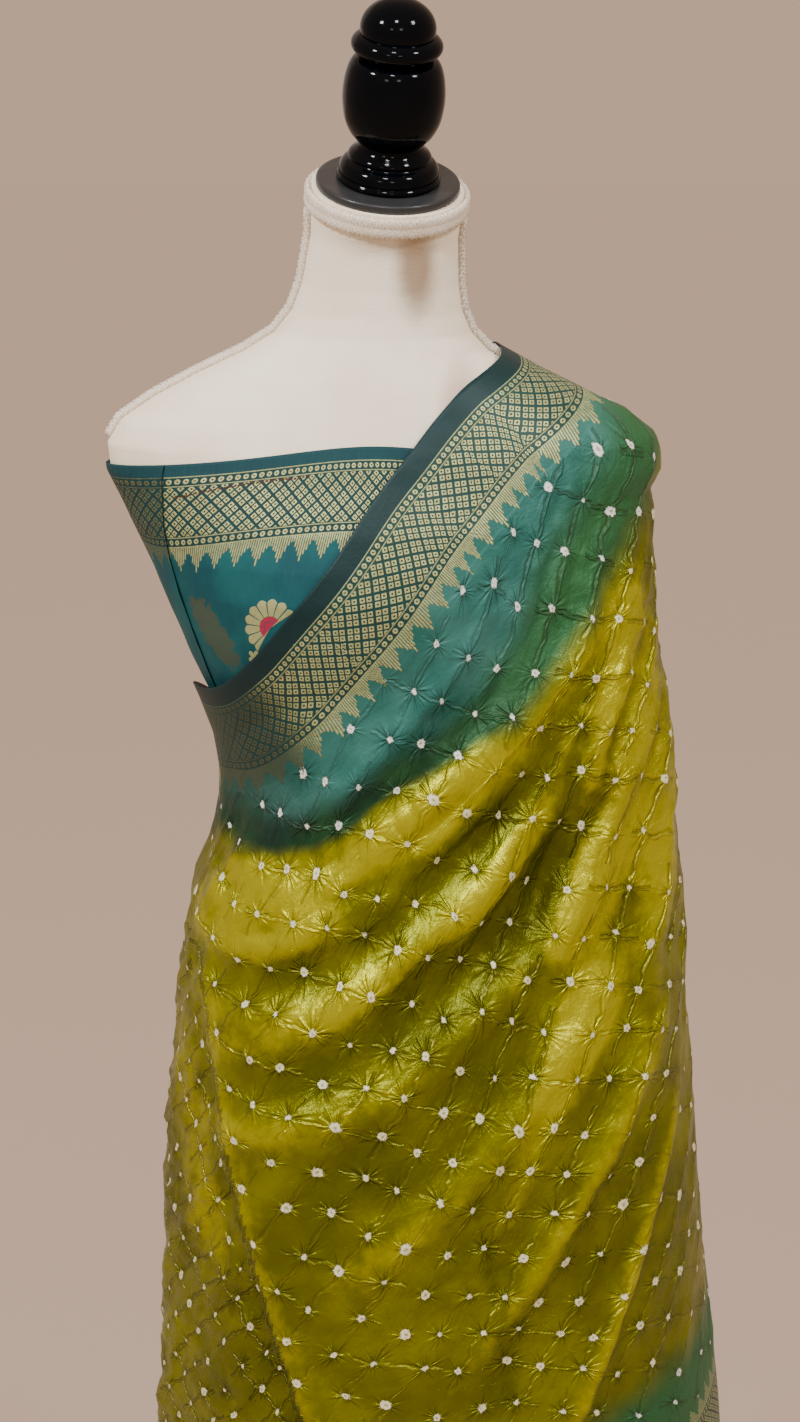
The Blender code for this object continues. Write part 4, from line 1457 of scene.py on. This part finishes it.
class SAREE_OT_knob(Operator):
    """Turn the black cap and its knob"""

    bl_idname = "saree.knob"
    bl_label = "Turn the knob"

    def execute(self, context):
        black = lacquer_material("black_lacquer", 0.0, 0.05, 0.06)
        dusty = lacquer_material("dusty_lacquer", 0.40, 0.32, 0.30)
        place = cap_place()
        low, top, wide = CAP_BOTTOM, CAP_TOP, CAP_RADIUS
        profile = [(0.0, top), (wide - 0.0032, top)]
        profile += arc(wide - 0.0020, top - 0.0020, 0.0020, 0.0020, 80.0, 0.0, 5)
        profile += [(wide, low + 0.0018)]
        profile += arc(wide - 0.0015, low + 0.0015, 0.0015, 0.0015, 0.0, -80.0, 4)
        profile += [(0.0, low)]
        cap = turned_piece("neck_disc", profile, 120, place)
        dress(cap, dusty, "black_lacquer", "neck_cap")
        foot = top + SEAT_GAP
        profile = [(0.0, foot + 0.1320)]
        profile += arc(0.0, foot + 0.1110, 0.0272, 0.0210, 80.0, -10.0, 16)
        profile += arc(0.0195, foot + 0.0993, 0.0135, 0.0088, 75.0, -72.0, 16)
        for table, steps in ((KNOB_BARREL, 40), (KNOB_FOOT, 28)):
            at = np.linspace(0.0, 1.0, steps + 1)
            rows = [(k / (len(table) - 1), *row) for k, row in enumerate(table)]
            for radius, height in zip(along(rows, at, 1), along(rows, at, 2)):
                profile.append((float(radius), foot + float(height)))
        profile += [(0.0, foot)]
        knob = turned_piece("knob_turning", profile, 120, place)
        dress(knob, black, "black_lacquer", "neck_knob")
        return {"FINISHED"}


class SAREE_OT_stand(Operator):
    """Turn the round foot with its boss and the pole"""

    bl_idname = "saree.stand"
    bl_label = "Make the stand"

    def execute(self, context):
        metal = metal_material()
        boss = BOSS_RADIUS
        profile = [(0.0, BOSS_TOP), (boss - 0.003, BOSS_TOP)]
        profile += arc(boss - 0.0030, BOSS_TOP - 0.0030, 0.0030, 0.0030, 70.0, 0.0, 4)
        profile += [(boss, 0.0450), (boss + 0.0030, 0.0385), (boss + 0.0080, 0.0340)]
        profile += [(boss + 0.0180, 0.0305), (0.0800, 0.0262), (FOOT_RADIUS - 0.012, FOOT_EDGE)]
        profile += arc(FOOT_RADIUS - 0.0080, FOOT_EDGE - 0.0080, 0.0080, 0.0080, 80.0, 0.0, 6)
        profile += [(FOOT_RADIUS, 0.0020), (FOOT_RADIUS - 0.0020, 0.0), (0.0, 0.0)]
        foot = turned_piece("foot_disc", profile, 160)
        dress(foot, metal, "black_metal", "stand_foot")
        low, high = BOSS_TOP + SEAT_GAP, FORM_BOTTOM - SEAT_GAP
        profile = [(0.0, high), (POLE_RADIUS, high), (POLE_RADIUS, (low + high) / 2.0)]
        profile += [(POLE_RADIUS, low), (0.0, low)]
        pole = turned_piece("pole_tube", profile, 64)
        dress(pole, metal, "black_metal", "stand_pole")
        return {"FINISHED"}


# The camera: how far right of the axis, degrees down, millimetres, pixels and pixels
CAMERA_RIGHT = 0.0175
CAMERA_PITCH = 15.0
SENSOR = 36.0
FOCAL_PIXELS = 2300.0
PHOTO_HEIGHT = 1422.0

# Studio lamps: name, place, what it faces, side of its square, watts
LAMPS = (
    ("key_left", (-1.70, -1.40, 3.10), (0.02, 0.0, 1.0), 0.34, 64.0),
    ("key_middle", (-0.05, -1.70, 3.20), (0.02, 0.0, 1.0), 0.26, 27.0),
    ("key_right", (1.60, -1.30, 3.10), (0.02, 0.0, 1.0), 0.34, 38.0),
    ("low_left", (-0.55, -1.90, 1.95), (0.02, 0.0, 0.9), 0.22, 2.0),
    ("low_right", (0.35, -1.90, 1.95), (0.02, 0.0, 0.9), 0.22, 2.0),
    ("back", (-1.20, 2.30, 2.20), (0.0, 0.0, 0.9), 2.40, 6.0),
)


def area_light(name, place, aim, side, watts):
    """A square lamp at a place, turned to what it faces."""
    bpy.ops.object.light_add(type="AREA", location=place)
    lamp = bpy.context.active_object
    lamp.name = name
    lamp.data.shape = "SQUARE"
    lamp.data.size = side
    lamp.data.energy = watts
    way = Vector(aim) - Vector(place)
    lamp.rotation_euler = way.to_track_quat("-Z", "Y").to_euler()
    return lamp


class SAREE_OT_stage(Operator):
    """Lay the pale floor and set the soft studio light and the camera"""

    bl_idname = "saree.stage"
    bl_label = "Set the stage"

    def execute(self, context):
        sizes = context.scene.stage_sizes
        bpy.ops.object.select_all(action="DESELECT")
        bpy.ops.mesh.primitive_plane_add(size=80.0, location=(0.0, 0.0, -0.0005))
        floor = context.active_object
        floor.name = "floor"
        floor.data.materials.append(floor_material())
        world = bpy.data.worlds.new("studio")
        world.use_nodes = True
        context.scene.world = world
        sky = world.node_tree.nodes["Background"]
        sky.inputs["Color"].default_value = (*STUDIO, 1.0)
        sky.inputs["Strength"].default_value = sizes.light_strength
        power = sizes.light_strength
        for name, place, aim, side, watts in LAMPS:
            area_light(name, place, aim, side, watts * power)
        bpy.ops.object.camera_add(
            location=(CAMERA_RIGHT, -sizes.camera_distance, sizes.camera_height),
            rotation=(math.radians(90.0 - CAMERA_PITCH), 0.0, 0.0),
        )
        camera = context.active_object
        camera.name = "camera"
        camera.data.sensor_fit = "AUTO"
        camera.data.sensor_width = SENSOR
        camera.data.lens = SENSOR * FOCAL_PIXELS / PHOTO_HEIGHT
        context.scene.camera = camera
        return {"FINISHED"}


class SAREE_PT_panel(Panel):
    """Lists the steps of the draped saree"""

    bl_idname = "SAREE_PT_panel"
    bl_label = "Saree"
    bl_space_type = "VIEW_3D"
    bl_region_type = "UI"
    bl_category = "Saree"

    def draw(self, context):
        for group in (context.scene.saree_sizes, context.scene.stage_sizes):
            for name in group.__annotations__:
                self.layout.prop(group, name)
        for step in STEPS:
            self.layout.operator(step.bl_idname)


STEPS = (
    SAREE_OT_form,
    SAREE_OT_braid,
    SAREE_OT_knob,
    SAREE_OT_stand,
    SAREE_OT_bust,
    SAREE_OT_drape,
    SAREE_OT_stage,
)
CLASSES = (SareeSizes, StageSizes, *STEPS, SAREE_PT_panel)


def register():
    for item in CLASSES:
        bpy.utils.register_class(item)
    bpy.types.Scene.saree_sizes = PointerProperty(type=SareeSizes)
    bpy.types.Scene.stage_sizes = PointerProperty(type=StageSizes)


def unregister():
    del bpy.types.Scene.stage_sizes
    del bpy.types.Scene.saree_sizes
    for item in reversed(CLASSES):
        bpy.utils.unregister_class(item)


def main():
    register()
    for step in STEPS:
        group, name = step.bl_idname.split(".")
        getattr(getattr(bpy.ops, group), name)()


if __name__ == "__main__":
    main()
